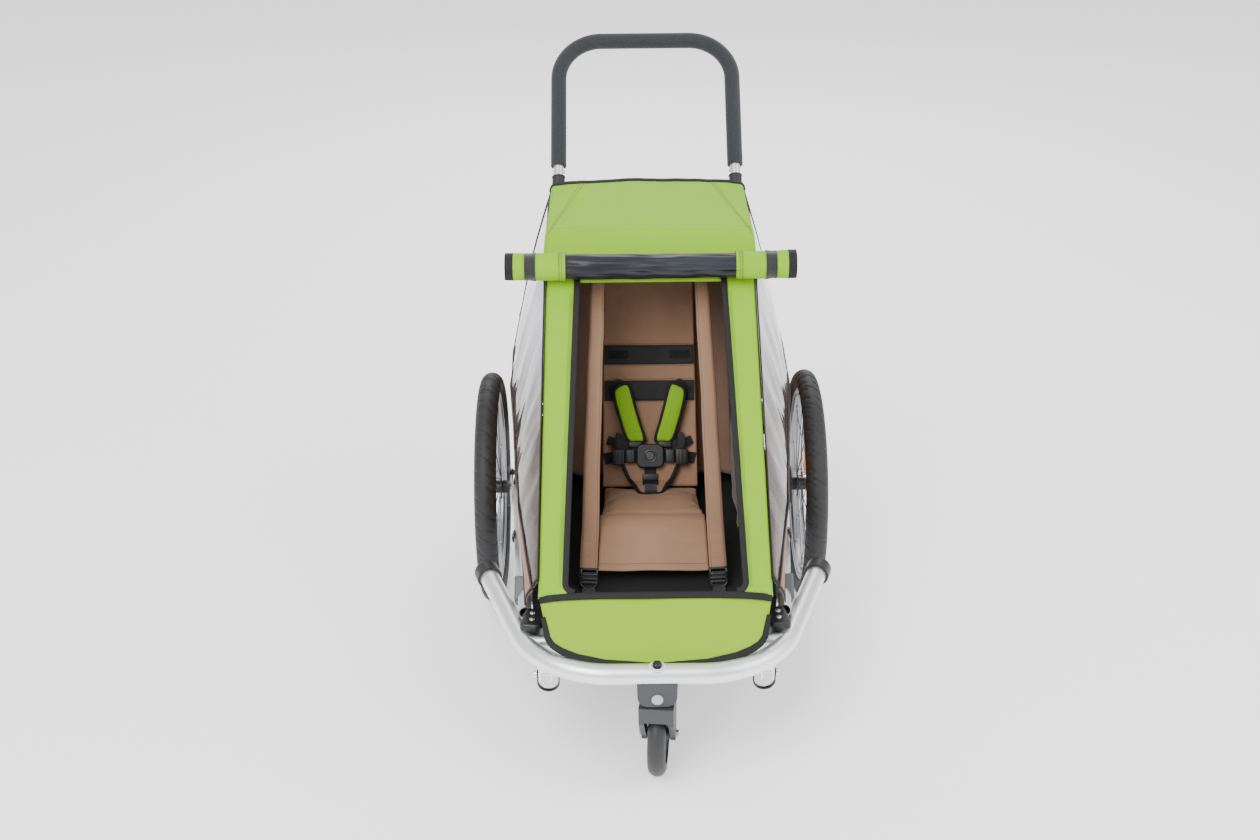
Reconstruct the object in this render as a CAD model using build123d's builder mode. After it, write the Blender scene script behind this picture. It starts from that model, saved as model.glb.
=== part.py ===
from build123d import *
from math import atan2, cos, hypot, radians, sin, sqrt, tan
import os

# Child bicycle trailer, set up as a stroller with its front swivel wheel.
# Millimetres, +Z up, front towards -Y, the child's left towards +X, ground at Z = 0.
# Heights and distances from the main axle are given below; axle_y places the axle so that
# the origin is on the ground under the middle of the whole object.

os.makedirs("parts", exist_ok=True)

# ---------------------------------------------------------------- driving dimensions
track = 676.0                  # between the planes of the main wheels
tyre_radius = 249.0            # outside of a 20 inch tyre
tyre_section = 46.0            # tyre width
frame_width = 556.0            # between the side rails' centre lines, at the axle
bumper_width = 652.0           # between the centres of the bumper's ends
bumper_front = 695.0           # axle to the bumper's centre line
bumper_height = 250.0          # bumper's centre line above the ground
bumper_radius = 19.0
frame_rear = 322.0             # axle to the rear cross tube
roof_width = 400.0             # roof cover at its rear edge
slope_angle = 45.0             # front face of the cabin
handle_rise = 45.0             # push bar's legs above the horizontal
handle_length = 349.0          # socket base to the middle of the grip, along the legs
caster_radius = 81.0           # swivel wheel
caster_turn = -6.0             # swivel fork, from straight ahead

# ---------------------------------------------------------------- sections and clearances
rail_radius = 12.5
rail_wall = 2.0
cross_radius = 11.0
tube_wall = 1.8
weld_gap = 0.1                 # between pieces of one body that meet
running_gap = 0.07             # a shaft in its bore
moving_gap = 0.5               # between bodies that slide past each other
cloth = 3.0                    # fabric panels, with their piping
wheel_x = track / 2
rail_x = frame_width / 2
half_bumper = bumper_width / 2
axle_height = tyre_radius
axle_tube_radius = 11.0
rail_height = axle_height + axle_tube_radius + rail_radius

# ---------------------------------------------------------------- push bar's geometry
leg_x = 186.0                  # legs' centre lines
leg_radius = 11.0
grip_radius = 16.5
socket_base = (178.0, 866.0)   # (distance behind the axle, height)
leg_dir = (cos(radians(handle_rise)), sin(radians(handle_rise)))
handle_top = (
    socket_base[0] + handle_length * leg_dir[0],
    socket_base[1] + handle_length * leg_dir[1],
)

# ---------------------------------------------------------------- place of the origin
caster_trail = 45.0            # swivel axis to the wheel's axle
stem_back = 5.0                # swivel axis behind the bumper's centre line
caster_axle_y = -bumper_front + stem_back + caster_trail
front_reach = caster_radius - caster_axle_y
rear_reach = handle_top[0] + grip_radius
axle_y = (front_reach - rear_reach) / 2


# ---------------------------------------------------------------- cabin's side outline
slope_tan = tan(radians(slope_angle))
crease_y = -79.0               # where the roof starts, on the cover's outside
crease_z = 854.0
roof_rise = 0.1066             # roof's slope, up towards the rear
roof_rear_y = 156.0
cover_offset = 20.5            # cover's outside above the tubes' centre lines
slope_offset = cover_offset / cos(radians(slope_angle))


def slope_height(y):
    """Outside of the cabin's front face at a distance y behind the axle."""
    return crease_z + (y - crease_y) * slope_tan


def roof_height(y):
    """Outside of the roof cover."""
    return crease_z + (y - crease_y) * roof_rise


roof_tube_drop = cover_offset * sqrt(1 + roof_rise**2)
bend_y = crease_y + (slope_offset - roof_tube_drop) / (slope_tan - roof_rise)
bend_z = slope_height(bend_y) - slope_offset
tube_end_y = 172.0
tube_end_z = roof_height(tube_end_y) - roof_tube_drop
upper_bend = 70.0
stay_top_y = 126.0             # upper pivot of the folding stays, on the side tube's centre line
stay_top = (stay_top_y, roof_height(stay_top_y) - roof_tube_drop)


def side_plane(x):
    """Sketch plane across X, with (distance behind the axle, height) as its coordinates."""
    return Plane(origin=(x, axle_y, 0), x_dir=(0, 1, 0), z_dir=(1, 0, 0))


def cross_plane(y):
    """Sketch plane across Y, with (x, height) as its coordinates; it extrudes forwards."""
    return Plane(origin=(0, axle_y + y, 0), x_dir=(1, 0, 0), z_dir=(0, -1, 0))


def level_plane(z):
    """Sketch plane at height z, with (x, distance behind the axle) as its coordinates."""
    return Plane(origin=(0, axle_y, z))


def point(x, y, z):
    return (x, axle_y + y, z)


def bent_tube(points, radius, wall, bend):
    """A round tube along straight runs joined by arcs of one radius."""
    with BuildPart() as tube:
        with BuildLine() as path:
            if len(points) > 2:
                FilletPolyline(*points, radius=bend)
            else:
                Line(*points)
        with BuildSketch(Plane(origin=path.line @ 0, z_dir=path.line % 0)):
            Circle(radius)
            if wall:
                Circle(radius - wall, mode=Mode.SUBTRACT)
        sweep(path=path.line)
    return tube


def mirrored(piece):
    """The same piece on the other side."""
    with BuildPart() as other:
        mirror(piece.part, about=Plane.YZ)
    return other


def both_sides(piece):
    """One node with the piece on each side."""
    with BuildPart() as pair:
        add(piece.part)
        mirror(piece.part, about=Plane.YZ)
    return pair


def save(piece, name):
    piece.part.label = name
    export_step(piece.part, f"parts/{name}.step")


# ================================================================ lower frame
rail_front_x = 244.0           # rails' centre lines at their front ends
rail_front_y = -527.0
rail_bend_y = -130.0
rail_rear_y = frame_rear + rail_radius + 2.0
rail_points = [
    point(rail_front_x, rail_front_y, rail_height),
    point(rail_x, rail_bend_y, rail_height),
    point(rail_x, rail_rear_y, rail_height),
]
side_rail_left = bent_tube(rail_points, rail_radius, rail_wall, 200.0)
rail_cutter = bent_tube(rail_points, rail_radius + weld_gap, 0, 200.0)
save(side_rail_left, "side_rail_left")
save(mirrored(side_rail_left), "side_rail_right")

# bumper: one tube around the front, straight sides that close in towards a flat front
bumper_end_y = -357.0
bumper_splay = 18.9            # sides from straight ahead
bumper_bend = 182.0
bumper_corner_x = half_bumper - (bumper_front + bumper_end_y) * tan(radians(bumper_splay))
bumper_points = [
    point(-half_bumper, bumper_end_y, bumper_height),
    point(-bumper_corner_x, -bumper_front, bumper_height),
    point(bumper_corner_x, -bumper_front, bumper_height),
    point(half_bumper, bumper_end_y, bumper_height),
]
bumper_tube = bent_tube(bumper_points, bumper_radius, 2.0, bumper_bend)
bumper_cutter = bent_tube(bumper_points, bumper_radius + weld_gap, 0, bumper_bend)
save(bumper_tube, "bumper_tube")

# rubber caps on the bumper's ends: a plug with a fat round head
cap_radius = 24.5
cap_length = 20.0
cap_sleeve = 14.0
splay_dir = (sin(radians(bumper_splay)), cos(radians(bumper_splay)), 0)
cap_plane = Plane(origin=point(half_bumper, bumper_end_y, bumper_height), z_dir=splay_dir)
with BuildPart() as bumper_cap_left:
    with BuildSketch(cap_plane.offset(weld_gap)):
        Circle(cap_radius)
    extrude(amount=cap_length)
    fillet(bumper_cap_left.edges().group_by(Axis(cap_plane.origin, cap_plane.z_dir))[-1], 9.0)
    with BuildSketch(cap_plane.offset(weld_gap)):
        Circle(cap_radius)
        Circle(bumper_radius + weld_gap, mode=Mode.SUBTRACT)
    extrude(amount=-cap_sleeve)
save(both_sides(bumper_cap_left), "bumper_caps")

# front cross tube, between the bumper's sides, with the brackets that hinge the upper frame
front_cross_y = -600.0
front_cross_z = 258.0
hinge_y = -612.0
hinge_z = 292.0
upper_x = 176.0                # side tubes of the upper frame
upper_radius = 11.0
hinge_boss = 14.0
bracket_plate = 4.0
hinge_pin_radius = 4.0
front_half = half_bumper - (-front_cross_y + bumper_end_y) * tan(radians(bumper_splay)) - 10.0
with BuildPart() as front_cross_tube:
    with BuildSketch(side_plane(0)):
        with Locations((front_cross_y, front_cross_z)):
            Circle(cross_radius)
    extrude(amount=front_half, both=True)
    with BuildSketch(side_plane(0)):
        with Locations((front_cross_y, front_cross_z)):
            Circle(cross_radius - tube_wall)
    extrude(amount=front_half, both=True, mode=Mode.SUBTRACT)
    add(bumper_cutter.part, mode=Mode.SUBTRACT)
    for side in (-1, 1):
        for face in (-1, 1):
            x = side * upper_x + face * (upper_radius + moving_gap + bracket_plate / 2)
            with BuildSketch(side_plane(x)):
                with BuildLine():
                    l1 = Polyline(
                        (front_cross_y - cross_radius + 1, front_cross_z),
                        (hinge_y - hinge_boss, hinge_z),
                    )
                    l2 = ThreePointArc(
                        l1 @ 1, (hinge_y, hinge_z + hinge_boss), (hinge_y + hinge_boss, hinge_z)
                    )
                    l3 = Line(l2 @ 1, (front_cross_y + cross_radius - 1, front_cross_z))
                    Line(l3 @ 1, l1 @ 0)
                make_face()
            extrude(amount=bracket_plate / 2, both=True)
        with BuildSketch(side_plane(side * upper_x)):
            with Locations((hinge_y, hinge_z)):
                Circle(hinge_pin_radius)
        extrude(amount=upper_radius + moving_gap + bracket_plate, both=True)
save(front_cross_tube, "front_cross_tube")

# rear cross tube with the brackets of the folding stays
stay_base = (frame_rear - 2.0, 300.0)   # lower pivot of the stays
stay_thick = 6.0
stay_width = 24.0
stay_pin_radius = 4.0
upper_stay_x = upper_x + upper_radius + 1.0 + stay_thick / 2
lower_stay_x = upper_stay_x + stay_thick + 2.0
with BuildPart() as rear_cross_tube:
    with BuildSketch(side_plane(0)):
        with Locations((frame_rear, rail_height)):
            Circle(rail_radius)
    extrude(amount=rail_x, both=True)
    with BuildSketch(side_plane(0)):
        with Locations((frame_rear, rail_height)):
            Circle(rail_radius - rail_wall)
    extrude(amount=rail_x, both=True, mode=Mode.SUBTRACT)
    add(rail_cutter.part, mode=Mode.SUBTRACT)
    mirror(rail_cutter.part, about=Plane.YZ, mode=Mode.SUBTRACT)
    for side in (-1, 1):
        bracket_x = side * (lower_stay_x - stay_thick / 2 - moving_gap - bracket_plate / 2)
        with BuildSketch(side_plane(bracket_x)):
            with Locations(stay_base):
                Circle(stay_width / 2)
            with Locations((frame_rear - 1, (rail_height + stay_base[1]) / 2 + 4)):
                Rectangle(stay_width - 2, stay_base[1] - rail_height - 6)
        extrude(amount=bracket_plate / 2, both=True)
        with BuildSketch(side_plane(side * lower_stay_x)):
            with Locations(stay_base):
                Circle(stay_pin_radius)
        extrude(amount=stay_thick / 2 + moving_gap, both=True)
save(rear_cross_tube, "rear_cross_tube")

# axle tube under the rails, and the castings that clamp both and carry the brake shaft
stub_radius = 6.35
axle_tube_half = wheel_x - 42.0
with BuildPart() as axle_tube:
    with BuildSketch(side_plane(0)):
        with Locations((0, axle_height)):
            Circle(axle_tube_radius)
            Circle(stub_radius + weld_gap, mode=Mode.SUBTRACT)
    extrude(amount=axle_tube_half, both=True)
save(axle_tube, "axle_tube")

brake_pivot = (80.0, 240.0)
brake_shaft_radius = 6.0
clamp_half = 14.0
with BuildPart() as axle_clamp_left:
    with BuildSketch(side_plane(rail_x)):
        with BuildLine():
            Polyline(
                (-22.0, axle_height - 17.0),
                (-22.0, rail_height - 3.0),
                (26.0, rail_height - 3.0),
                (60.0, rail_height - rail_radius - 1.0),
                (brake_pivot[0] + 13.0, brake_pivot[1] + 8.0),
                (brake_pivot[0] + 11.0, brake_pivot[1] - 10.0),
                (brake_pivot[0] - 10.0, brake_pivot[1] - 12.0),
                (22.0, axle_height - 17.0),
                close=True,
            )
        make_face()
        with Locations((0, axle_height)):
            Circle(axle_tube_radius + weld_gap, mode=Mode.SUBTRACT)
        with Locations(brake_pivot):
            Circle(brake_shaft_radius + running_gap, mode=Mode.SUBTRACT)
    extrude(amount=clamp_half, both=True)
    fillet(axle_clamp_left.edges().filter_by(Axis.X).group_by(Axis.Y)[0], 4.0)
    add(rail_cutter.part, mode=Mode.SUBTRACT)
save(both_sides(axle_clamp_left), "axle_clamps")

# corner joints: moulded blocks that clamp each rail's end to the bumper
joint_y = -555.0
joint_x = rail_front_x - 15.0
with BuildPart() as corner_joint_left:
    with BuildSketch(level_plane(bumper_height - 22.0)):
        with Locations(Location((joint_x, joint_y), bumper_splay / 2)):
            RectangleRounded(38.0, 60.0, 9.0)
    extrude(amount=rail_height + 10.0 - bumper_height + 22.0)
    fillet(corner_joint_left.edges().group_by(Axis.Z)[-1], 6.0)
    add(rail_cutter.part, mode=Mode.SUBTRACT)
    add(bumper_cutter.part, mode=Mode.SUBTRACT)
    add(front_cross_tube.part, mode=Mode.SUBTRACT)
save(both_sides(corner_joint_left), "corner_joints")

# grey blocks around the rails, tilted like the cabin's front face
block_y = -455.0
block_tilt = 40.0
rail_turn = atan2(rail_x - rail_front_x, rail_bend_y - rail_front_y)
block_x = rail_front_x + (block_y - rail_front_y) * tan(rail_turn)
block_plane = Plane(
    origin=point(block_x, block_y, rail_height + 3.0),
    x_dir=(1, 0, 0),
    z_dir=(0, -sin(radians(block_tilt)), cos(radians(block_tilt))),
)
with BuildPart() as rail_block_left:
    with BuildSketch(block_plane.offset(-17.0)):
        RectangleRounded(34.0, 50.0, 4.0)
    extrude(amount=34.0)
    chamfer(rail_block_left.faces().sort_by(Axis(block_plane.origin, block_plane.z_dir))[-1].edges(), 4.0)
    add(rail_cutter.part, mode=Mode.SUBTRACT)
    add(bumper_cutter.part, mode=Mode.SUBTRACT)
save(both_sides(rail_block_left), "rail_blocks")

# floor: a tight sheet between the rails, above the axle tube
floor_z = axle_height + axle_tube_radius + 1.0
floor_front = front_cross_y + cross_radius + 2.0
floor_rear = frame_rear - rail_radius - 1.0
with BuildPart() as floor_pan:
    with BuildSketch(level_plane(floor_z)):
        with BuildLine():
            l1 = Polyline(
                (0, floor_front),
                (front_half - 36.0, floor_front),
                (rail_front_x - rail_radius - 3.0, rail_front_y),
                (rail_x - rail_radius - 3.0, rail_bend_y),
                (rail_x - rail_radius - 3.0, floor_rear),
                (0, floor_rear),
            )
            mirror(l1, about=Plane.YZ)
        make_face()
    extrude(amount=cloth)
    for fitting in (corner_joint_left, rail_block_left):
        add(fitting.part, mode=Mode.SUBTRACT)
        mirror(fitting.part, about=Plane.YZ, mode=Mode.SUBTRACT)
save(floor_pan, "floor_pan")

# chrome brackets under the bumper that take the tow arm, with a pin across each
tow_x = 203.0
tow_y = -636.0
tow_gap = 18.0
tow_plate = 3.0
tow_depth = 34.0
tow_pin_radius = 4.0
tow_top = bumper_height - bumper_radius + 8.0
tow_bottom = bumper_height - bumper_radius - 33.0
tow_pin_z = tow_bottom + 12.0
with BuildPart() as tow_bracket_left:
    with BuildSketch(Plane(origin=point(tow_x, tow_y + tow_depth / 2, 0), x_dir=(1, 0, 0), z_dir=(0, -1, 0))):
        with BuildLine():
            half = tow_gap / 2
            Polyline(
                (-half - tow_plate, tow_bottom),
                (-half - tow_plate, tow_top),
                (half + tow_plate, tow_top),
                (half + tow_plate, tow_bottom),
                (half, tow_bottom),
                (half, tow_top - 14.0),
                (-half, tow_top - 14.0),
                (-half, tow_bottom),
                close=True,
            )
        make_face()
    extrude(amount=tow_depth)
    fillet(tow_bracket_left.edges().filter_by(Axis.X).group_by(Axis.Z)[0], 10.0)
    with BuildSketch(side_plane(tow_x)):
        with Locations((tow_y, tow_pin_z)):
            Circle(tow_pin_radius + running_gap)
    extrude(amount=tow_gap, both=True, mode=Mode.SUBTRACT)
    add(bumper_cutter.part, mode=Mode.SUBTRACT)
save(both_sides(tow_bracket_left), "tow_brackets")

pin_head = 7.0
pin_outer = tow_x + tow_gap / 2 + tow_plate + 6.0
pin_inner = tow_x - tow_gap / 2 - tow_plate - 16.0
with BuildPart() as hitch_pin_left:
    with BuildSketch(side_plane(pin_inner)):
        with Locations((tow_y, tow_pin_z)):
            Circle(tow_pin_radius)
    extrude(amount=pin_outer - pin_inner)
    chamfer(hitch_pin_left.edges().group_by(Axis.X)[0], 1.5)
    with BuildSketch(side_plane(pin_outer)):
        with Locations((tow_y, tow_pin_z)):
            Circle(pin_head)
    extrude(amount=5.0)
    fillet(hitch_pin_left.edges().group_by(Axis.X)[-1], 1.8)
save(hitch_pin_left, "hitch_pin_left")
save(mirrored(hitch_pin_left), "hitch_pin_right")

# rubber strap of each pin: two eyelets on the pin's shank and a band that hangs between them
strap_width = 7.0
strap_thick = 2.4
eyelet_radius = 8.0
strap_out = pin_outer - 1.5 - strap_thick / 2
strap_in = pin_inner + 4.0
strap_bottom = tow_bottom - 24.0
strap_mid = (strap_out + strap_in) / 2
with BuildPart() as pin_strap_left:
    with BuildSketch(cross_plane(tow_y + strap_width / 2)):
        with BuildLine():
            l1 = Line((strap_in, tow_pin_z), (strap_in, tow_bottom - 2.0))
            l2 = ThreePointArc(l1 @ 1, (strap_mid, strap_bottom), (strap_out, tow_bottom - 2.0))
            Line(l2 @ 1, (strap_out, tow_pin_z))
        trace(line_width=strap_thick)
    extrude(amount=strap_width)
    for x in (strap_in, strap_out):
        with BuildSketch(side_plane(x)):
            with Locations((tow_y, tow_pin_z)):
                Circle(eyelet_radius)
        extrude(amount=strap_thick / 2, both=True)
    with BuildSketch(side_plane(strap_mid)):
        with Locations((tow_y, tow_pin_z)):
            Circle(tow_pin_radius + moving_gap)
    extrude(amount=strap_out - strap_in, both=True, mode=Mode.SUBTRACT)
save(both_sides(pin_strap_left), "pin_straps")

# knob on top of the bumper that buttons the front panel
with BuildPart() as panel_knob:
    with BuildSketch(level_plane(bumper_height + bumper_radius - 2.0)):
        with Locations((0, -bumper_front - 1.0)):
            Circle(8.5)
    extrude(amount=9.0)
    fillet(panel_knob.edges().group_by(Axis.Z)[-1], 3.0)
    add(bumper_cutter.part, mode=Mode.SUBTRACT)
save(panel_knob, "panel_knob")

# flag socket on the left rail, behind the wheel
flag_bore = 4.25
flag_depth = 56.0
flag_radius = 8.5
flag_y = 292.0
flag_x = rail_x + rail_radius + flag_radius + 1.0
flag_base = rail_height - 12.0
with BuildPart() as flag_socket:
    with BuildSketch(level_plane(flag_base)):
        with Locations((flag_x, flag_y)):
            Circle(flag_radius)
        with Locations(((flag_x + rail_x) / 2, flag_y)):
            Rectangle(flag_x - rail_x, 12.0)
    extrude(amount=24.0)
    with BuildSketch(level_plane(flag_base)):
        with Locations((flag_x, flag_y)):
            Circle(flag_radius)
    extrude(amount=flag_depth + 4.0)
    with BuildSketch(level_plane(flag_base + 4.0)):
        with Locations((flag_x, flag_y)):
            Circle(flag_bore)
    extrude(amount=flag_depth, mode=Mode.SUBTRACT)
    add(rail_cutter.part, mode=Mode.SUBTRACT)
save(flag_socket, "flag_socket")

# ================================================================ main wheels
rim_outer = 208.0
rim_inner = 190.0
rim_width = 27.0
flange_radius = 27.0
flange_in = -18.0              # places along the axle, from the wheel's plane outwards
flange_out = 13.0
hub_in = -38.0
hub_out = 18.0
hub_radius = 14.0
ring_radius = 43.0             # braking ring at the hub's inner end
ring_thick = 6.0
spoke_radius = 1.1
spoke_count = 20
spoke_lean = 36.0
spoke_root = 24.0
spoke_dish = 0.3               # spokes' ends at the rim, as a share of the flange's place

wheel_axis = Axis(point(0, 0, axle_height), (1, 0, 0))


def wheel_plane():
    """Sketch plane through the left wheel's axle, with (along the axle, radius) as coordinates."""
    return Plane(origin=point(wheel_x, 0, axle_height), x_dir=(1, 0, 0), z_dir=(0, -1, 0))


with BuildPart() as tyre_left:
    with BuildSketch(wheel_plane()):
        with Locations((0, tyre_radius - tyre_section / 2)):
            Circle(tyre_section / 2)
        with Locations((0, rim_outer / 2)):
            Rectangle(tyre_section, rim_outer + 2 * weld_gap, mode=Mode.SUBTRACT)
    revolve(axis=wheel_axis)
save(tyre_left, "tyre_left")
save(mirrored(tyre_left), "tyre_right")

with BuildPart() as rim_left:
    with BuildSketch(wheel_plane()) as rim_section:
        with Locations((0, (rim_outer + rim_inner) / 2)):
            Rectangle(rim_width, rim_outer - rim_inner)
        fillet(rim_section.vertices().group_by(Axis.Z)[0], 7.0)
    revolve(axis=wheel_axis)
save(rim_left, "rim_left")
save(mirrored(rim_left), "rim_right")

with BuildPart() as hub_left:
    with BuildSketch(wheel_plane()):
        with BuildLine():
            bore = stub_radius + running_gap
            Polyline(
                (hub_in, bore),
                (hub_in, ring_radius),
                (hub_in + ring_thick, ring_radius),
                (hub_in + ring_thick, hub_radius),
                (flange_in - 1.5, hub_radius),
                (flange_in - 1.5, flange_radius),
                (flange_in + 1.5, flange_radius),
                (flange_in + 1.5, hub_radius),
                (flange_out - 1.5, hub_radius),
                (flange_out - 1.5, flange_radius),
                (flange_out + 1.5, flange_radius),
                (flange_out + 1.5, hub_radius),
                (hub_out, hub_radius),
                (hub_out, bore),
                close=True,
            )
        make_face()
    revolve(axis=wheel_axis)
save(hub_left, "hub_left")
save(mirrored(hub_left), "hub_right")


def spoke_point(along, radius, angle):
    return point(
        wheel_x + along,
        radius * cos(radians(angle)),
        axle_height + radius * sin(radians(angle)),
    )


with BuildPart() as spokes_left:
    step = 720.0 / spoke_count
    for i in range(spoke_count):
        inner = i % 2 == 0
        flange = flange_in + 2.8 if inner else flange_out - 2.8
        angle = (i // 2) * step + (0 if inner else step / 2)
        lean = spoke_lean if inner else -spoke_lean
        start = spoke_point(flange, spoke_root, angle)
        end = spoke_point(spoke_dish * flange, rim_inner - 0.4, angle + lean)
        with BuildLine() as spoke_line:
            Line(start, end)
        with BuildSketch(Plane(origin=start, z_dir=spoke_line.line % 0)):
            Circle(spoke_radius)
        sweep(path=spoke_line.line)
save(spokes_left, "spokes_left")
save(mirrored(spokes_left), "spokes_right")

# reflector between the spokes, above the hub
reflector_low = 33.0
reflector_high = 124.0
reflector_shift = -1.2         # between the two rows of spokes
with BuildPart() as reflector_left:
    with BuildSketch(side_plane(wheel_x + reflector_shift)):
        with Locations((0, axle_height + (reflector_low + reflector_high) / 2)):
            RectangleRounded(40.0, reflector_high - reflector_low, 8.0)
    extrude(amount=4.8, both=True)
    chamfer(reflector_left.faces().filter_by(Axis.X).edges(), 1.2)
save(reflector_left, "reflector_left")
save(mirrored(reflector_left), "reflector_right")

# stub axle with its release button
stub_in = -130.0
stub_out = hub_out + 0.6
button_bore = 2.4
button_travel = 2.5
with BuildPart() as stub_axle_left:
    with BuildSketch(side_plane(wheel_x + stub_in)):
        with Locations((0, axle_height)):
            Circle(stub_radius)
            Circle(button_bore, mode=Mode.SUBTRACT)
    extrude(amount=stub_out - stub_in)
save(stub_axle_left, "stub_axle_left")
save(mirrored(stub_axle_left), "stub_axle_right")

with BuildPart() as hub_button_left:
    with BuildSketch(side_plane(wheel_x + stub_out + button_travel + 0.4)):
        with Locations((0, axle_height)):
            Circle(9.0)
    extrude(amount=4.5)
    fillet(hub_button_left.edges().group_by(Axis.X)[-1], 1.6)
    with BuildSketch(side_plane(wheel_x + stub_out + button_travel + 0.4)):
        with Locations((0, axle_height)):
            Circle(button_bore - running_gap)
    extrude(amount=-60.0)
save(hub_button_left, "hub_button_left")
save(mirrored(hub_button_left), "hub_button_right")

# ================================================================ parking brake
ring_x = wheel_x + hub_in
shoe_place = (brake_pivot[0] - 49.0, brake_pivot[1] - 46.0)
shoe_radius = 5.5
shaft_half = ring_x + ring_thick + 1.5
pedal_reach = 268.0
with BuildPart() as brake_pedal:
    with BuildSketch(side_plane(0)):
        with Locations(brake_pivot):
            Circle(brake_shaft_radius)
    extrude(amount=shaft_half, both=True)
    for side in (-1, 1):
        with BuildSketch(side_plane(side * (ring_x + ring_thick / 2))):
            with BuildLine():
                Line(brake_pivot, shoe_place)
            trace(line_width=9.0)
            with Locations(shoe_place):
                Circle(shoe_radius)
            with Locations(brake_pivot):
                Circle(9.0)
        extrude(amount=ring_thick / 2, both=True)
    with BuildSketch(side_plane(0)):
        with BuildLine():
            Polyline(
                brake_pivot,
                (brake_pivot[0] + 60.0, brake_pivot[1] - 12.0),
                (brake_pivot[0] + pedal_reach - 20.0, brake_pivot[1] - 8.0),
            )
        trace(line_width=9.0)
        with Locations(brake_pivot):
            Circle(10.0)
    extrude(amount=7.0, both=True)
    with BuildSketch(level_plane(brake_pivot[1] - 14.0)):
        with Locations((0, brake_pivot[0] + pedal_reach - 18.0)):
            RectangleRounded(86.0, 44.0, 10.0)
    extrude(amount=11.0)
save(brake_pedal, "brake_pedal")

# ================================================================ swivel wheel
stem_y = -bumper_front + stem_back
housing_top = bumper_height - 8.0
housing_bottom = 188.0
housing_front = -bumper_front - 17.0
stem_radius = 7.0
caster_button_z = 206.0
caster_button_radius = 10.5
with BuildPart() as caster_housing:
    with BuildSketch(cross_plane(housing_front + 54.0)):
        with BuildLine():
            l1 = Polyline(
                (0, housing_top),
                (37.0, housing_top),
                (36.0, housing_bottom + 20.0),
            )
            l2 = Spline(l1 @ 1, (30.0, housing_bottom + 6.0), (18.0, housing_bottom))
            Line(l2 @ 1, (0, housing_bottom))
            mirror(l1, about=Plane.YZ)
            mirror(l2, about=Plane.YZ)
            Line((-18.0, housing_bottom), (0, housing_bottom))
        make_face()
    extrude(amount=54.0)
    fillet(caster_housing.faces().sort_by(Axis.Y)[0].edges().filter_by(GeomType.LINE), 2.0)
    with BuildSketch(level_plane(housing_bottom)):
        with Locations((0, stem_y)):
            Circle(stem_radius + running_gap)
    extrude(amount=bumper_height - bumper_radius - housing_bottom, mode=Mode.SUBTRACT)
    with BuildSketch(cross_plane(housing_front)):
        with Locations((0, caster_button_z)):
            Circle(caster_button_radius + 0.3)
    extrude(amount=-9.0, mode=Mode.SUBTRACT)
    add(bumper_cutter.part, mode=Mode.SUBTRACT)
save(caster_housing, "caster_housing")

with BuildPart() as caster_button:
    with BuildSketch(cross_plane(housing_front + 5.0)):
        with Locations((0, caster_button_z)):
            Circle(caster_button_radius)
    extrude(amount=7.5)
    fillet(caster_button.edges().group_by(Axis.Y)[0], 1.6)
save(caster_button, "caster_button")

stem_axis = Axis(point(0, stem_y, 0), (0, 0, 1))


def turned(piece):
    """The same piece, turned about the swivel axis."""
    with BuildPart() as result:
        add(piece.part.rotate(stem_axis, caster_turn))
    return result


crown_top = housing_bottom - 2.0
crown_bottom = 2 * caster_radius + 5.0
arm_in = 22.0
arm_out = 32.0
bolt_radius = 4.0
with BuildPart() as caster_fork:
    with BuildSketch(side_plane(0)):
        with BuildLine():
            Polyline(
                (stem_y - 26.0, crown_top),
                (stem_y + 24.0, crown_top),
                (caster_axle_y + 12.0, crown_bottom + 2.0),
                (caster_axle_y + 12.0, crown_bottom),
                (stem_y - 4.0, crown_bottom),
                (stem_y - 8.0, crown_bottom - 14.0),
                (stem_y - 24.0, crown_bottom - 14.0),
                close=True,
            )
        make_face()
    extrude(amount=arm_out, both=True)
    for side in (-1, 1):
        with BuildSketch(side_plane(side * (arm_in + arm_out) / 2)):
            with BuildLine():
                Polyline(
                    (stem_y - 26.0, crown_top),
                    (caster_axle_y + 12.0, crown_bottom + 2.0),
                    (caster_axle_y + 13.0, caster_radius),
                    (caster_axle_y - 13.0, caster_radius),
                    (stem_y - 22.0, crown_bottom - 20.0),
                    close=True,
                )
            make_face()
            with Locations((caster_axle_y, caster_radius)):
                Circle(13.0)
        extrude(amount=(arm_out - arm_in) / 2, both=True)
    with BuildSketch(side_plane(0)):
        with Locations((caster_axle_y, caster_radius)):
            Circle(bolt_radius + weld_gap)
    extrude(amount=arm_out + 1.0, both=True, mode=Mode.SUBTRACT)
    with BuildSketch(level_plane(crown_top)):
        with Locations((0, stem_y)):
            Circle(stem_radius)
    extrude(amount=bumper_height - bumper_radius - 5.0 - crown_top)
save(turned(caster_fork), "caster_fork")

with BuildPart() as caster_axle:
    with BuildSketch(side_plane(0)):
        with Locations((caster_axle_y, caster_radius)):
            Circle(bolt_radius)
    extrude(amount=arm_out + weld_gap, both=True)
    for side in (-1, 1):
        with BuildSketch(side_plane(side * (arm_out + weld_gap))):
            with Locations((caster_axle_y, caster_radius)):
                RegularPolygon(7.0, 6)
        extrude(amount=side * 5.0)
save(turned(caster_axle), "caster_axle")

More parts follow.
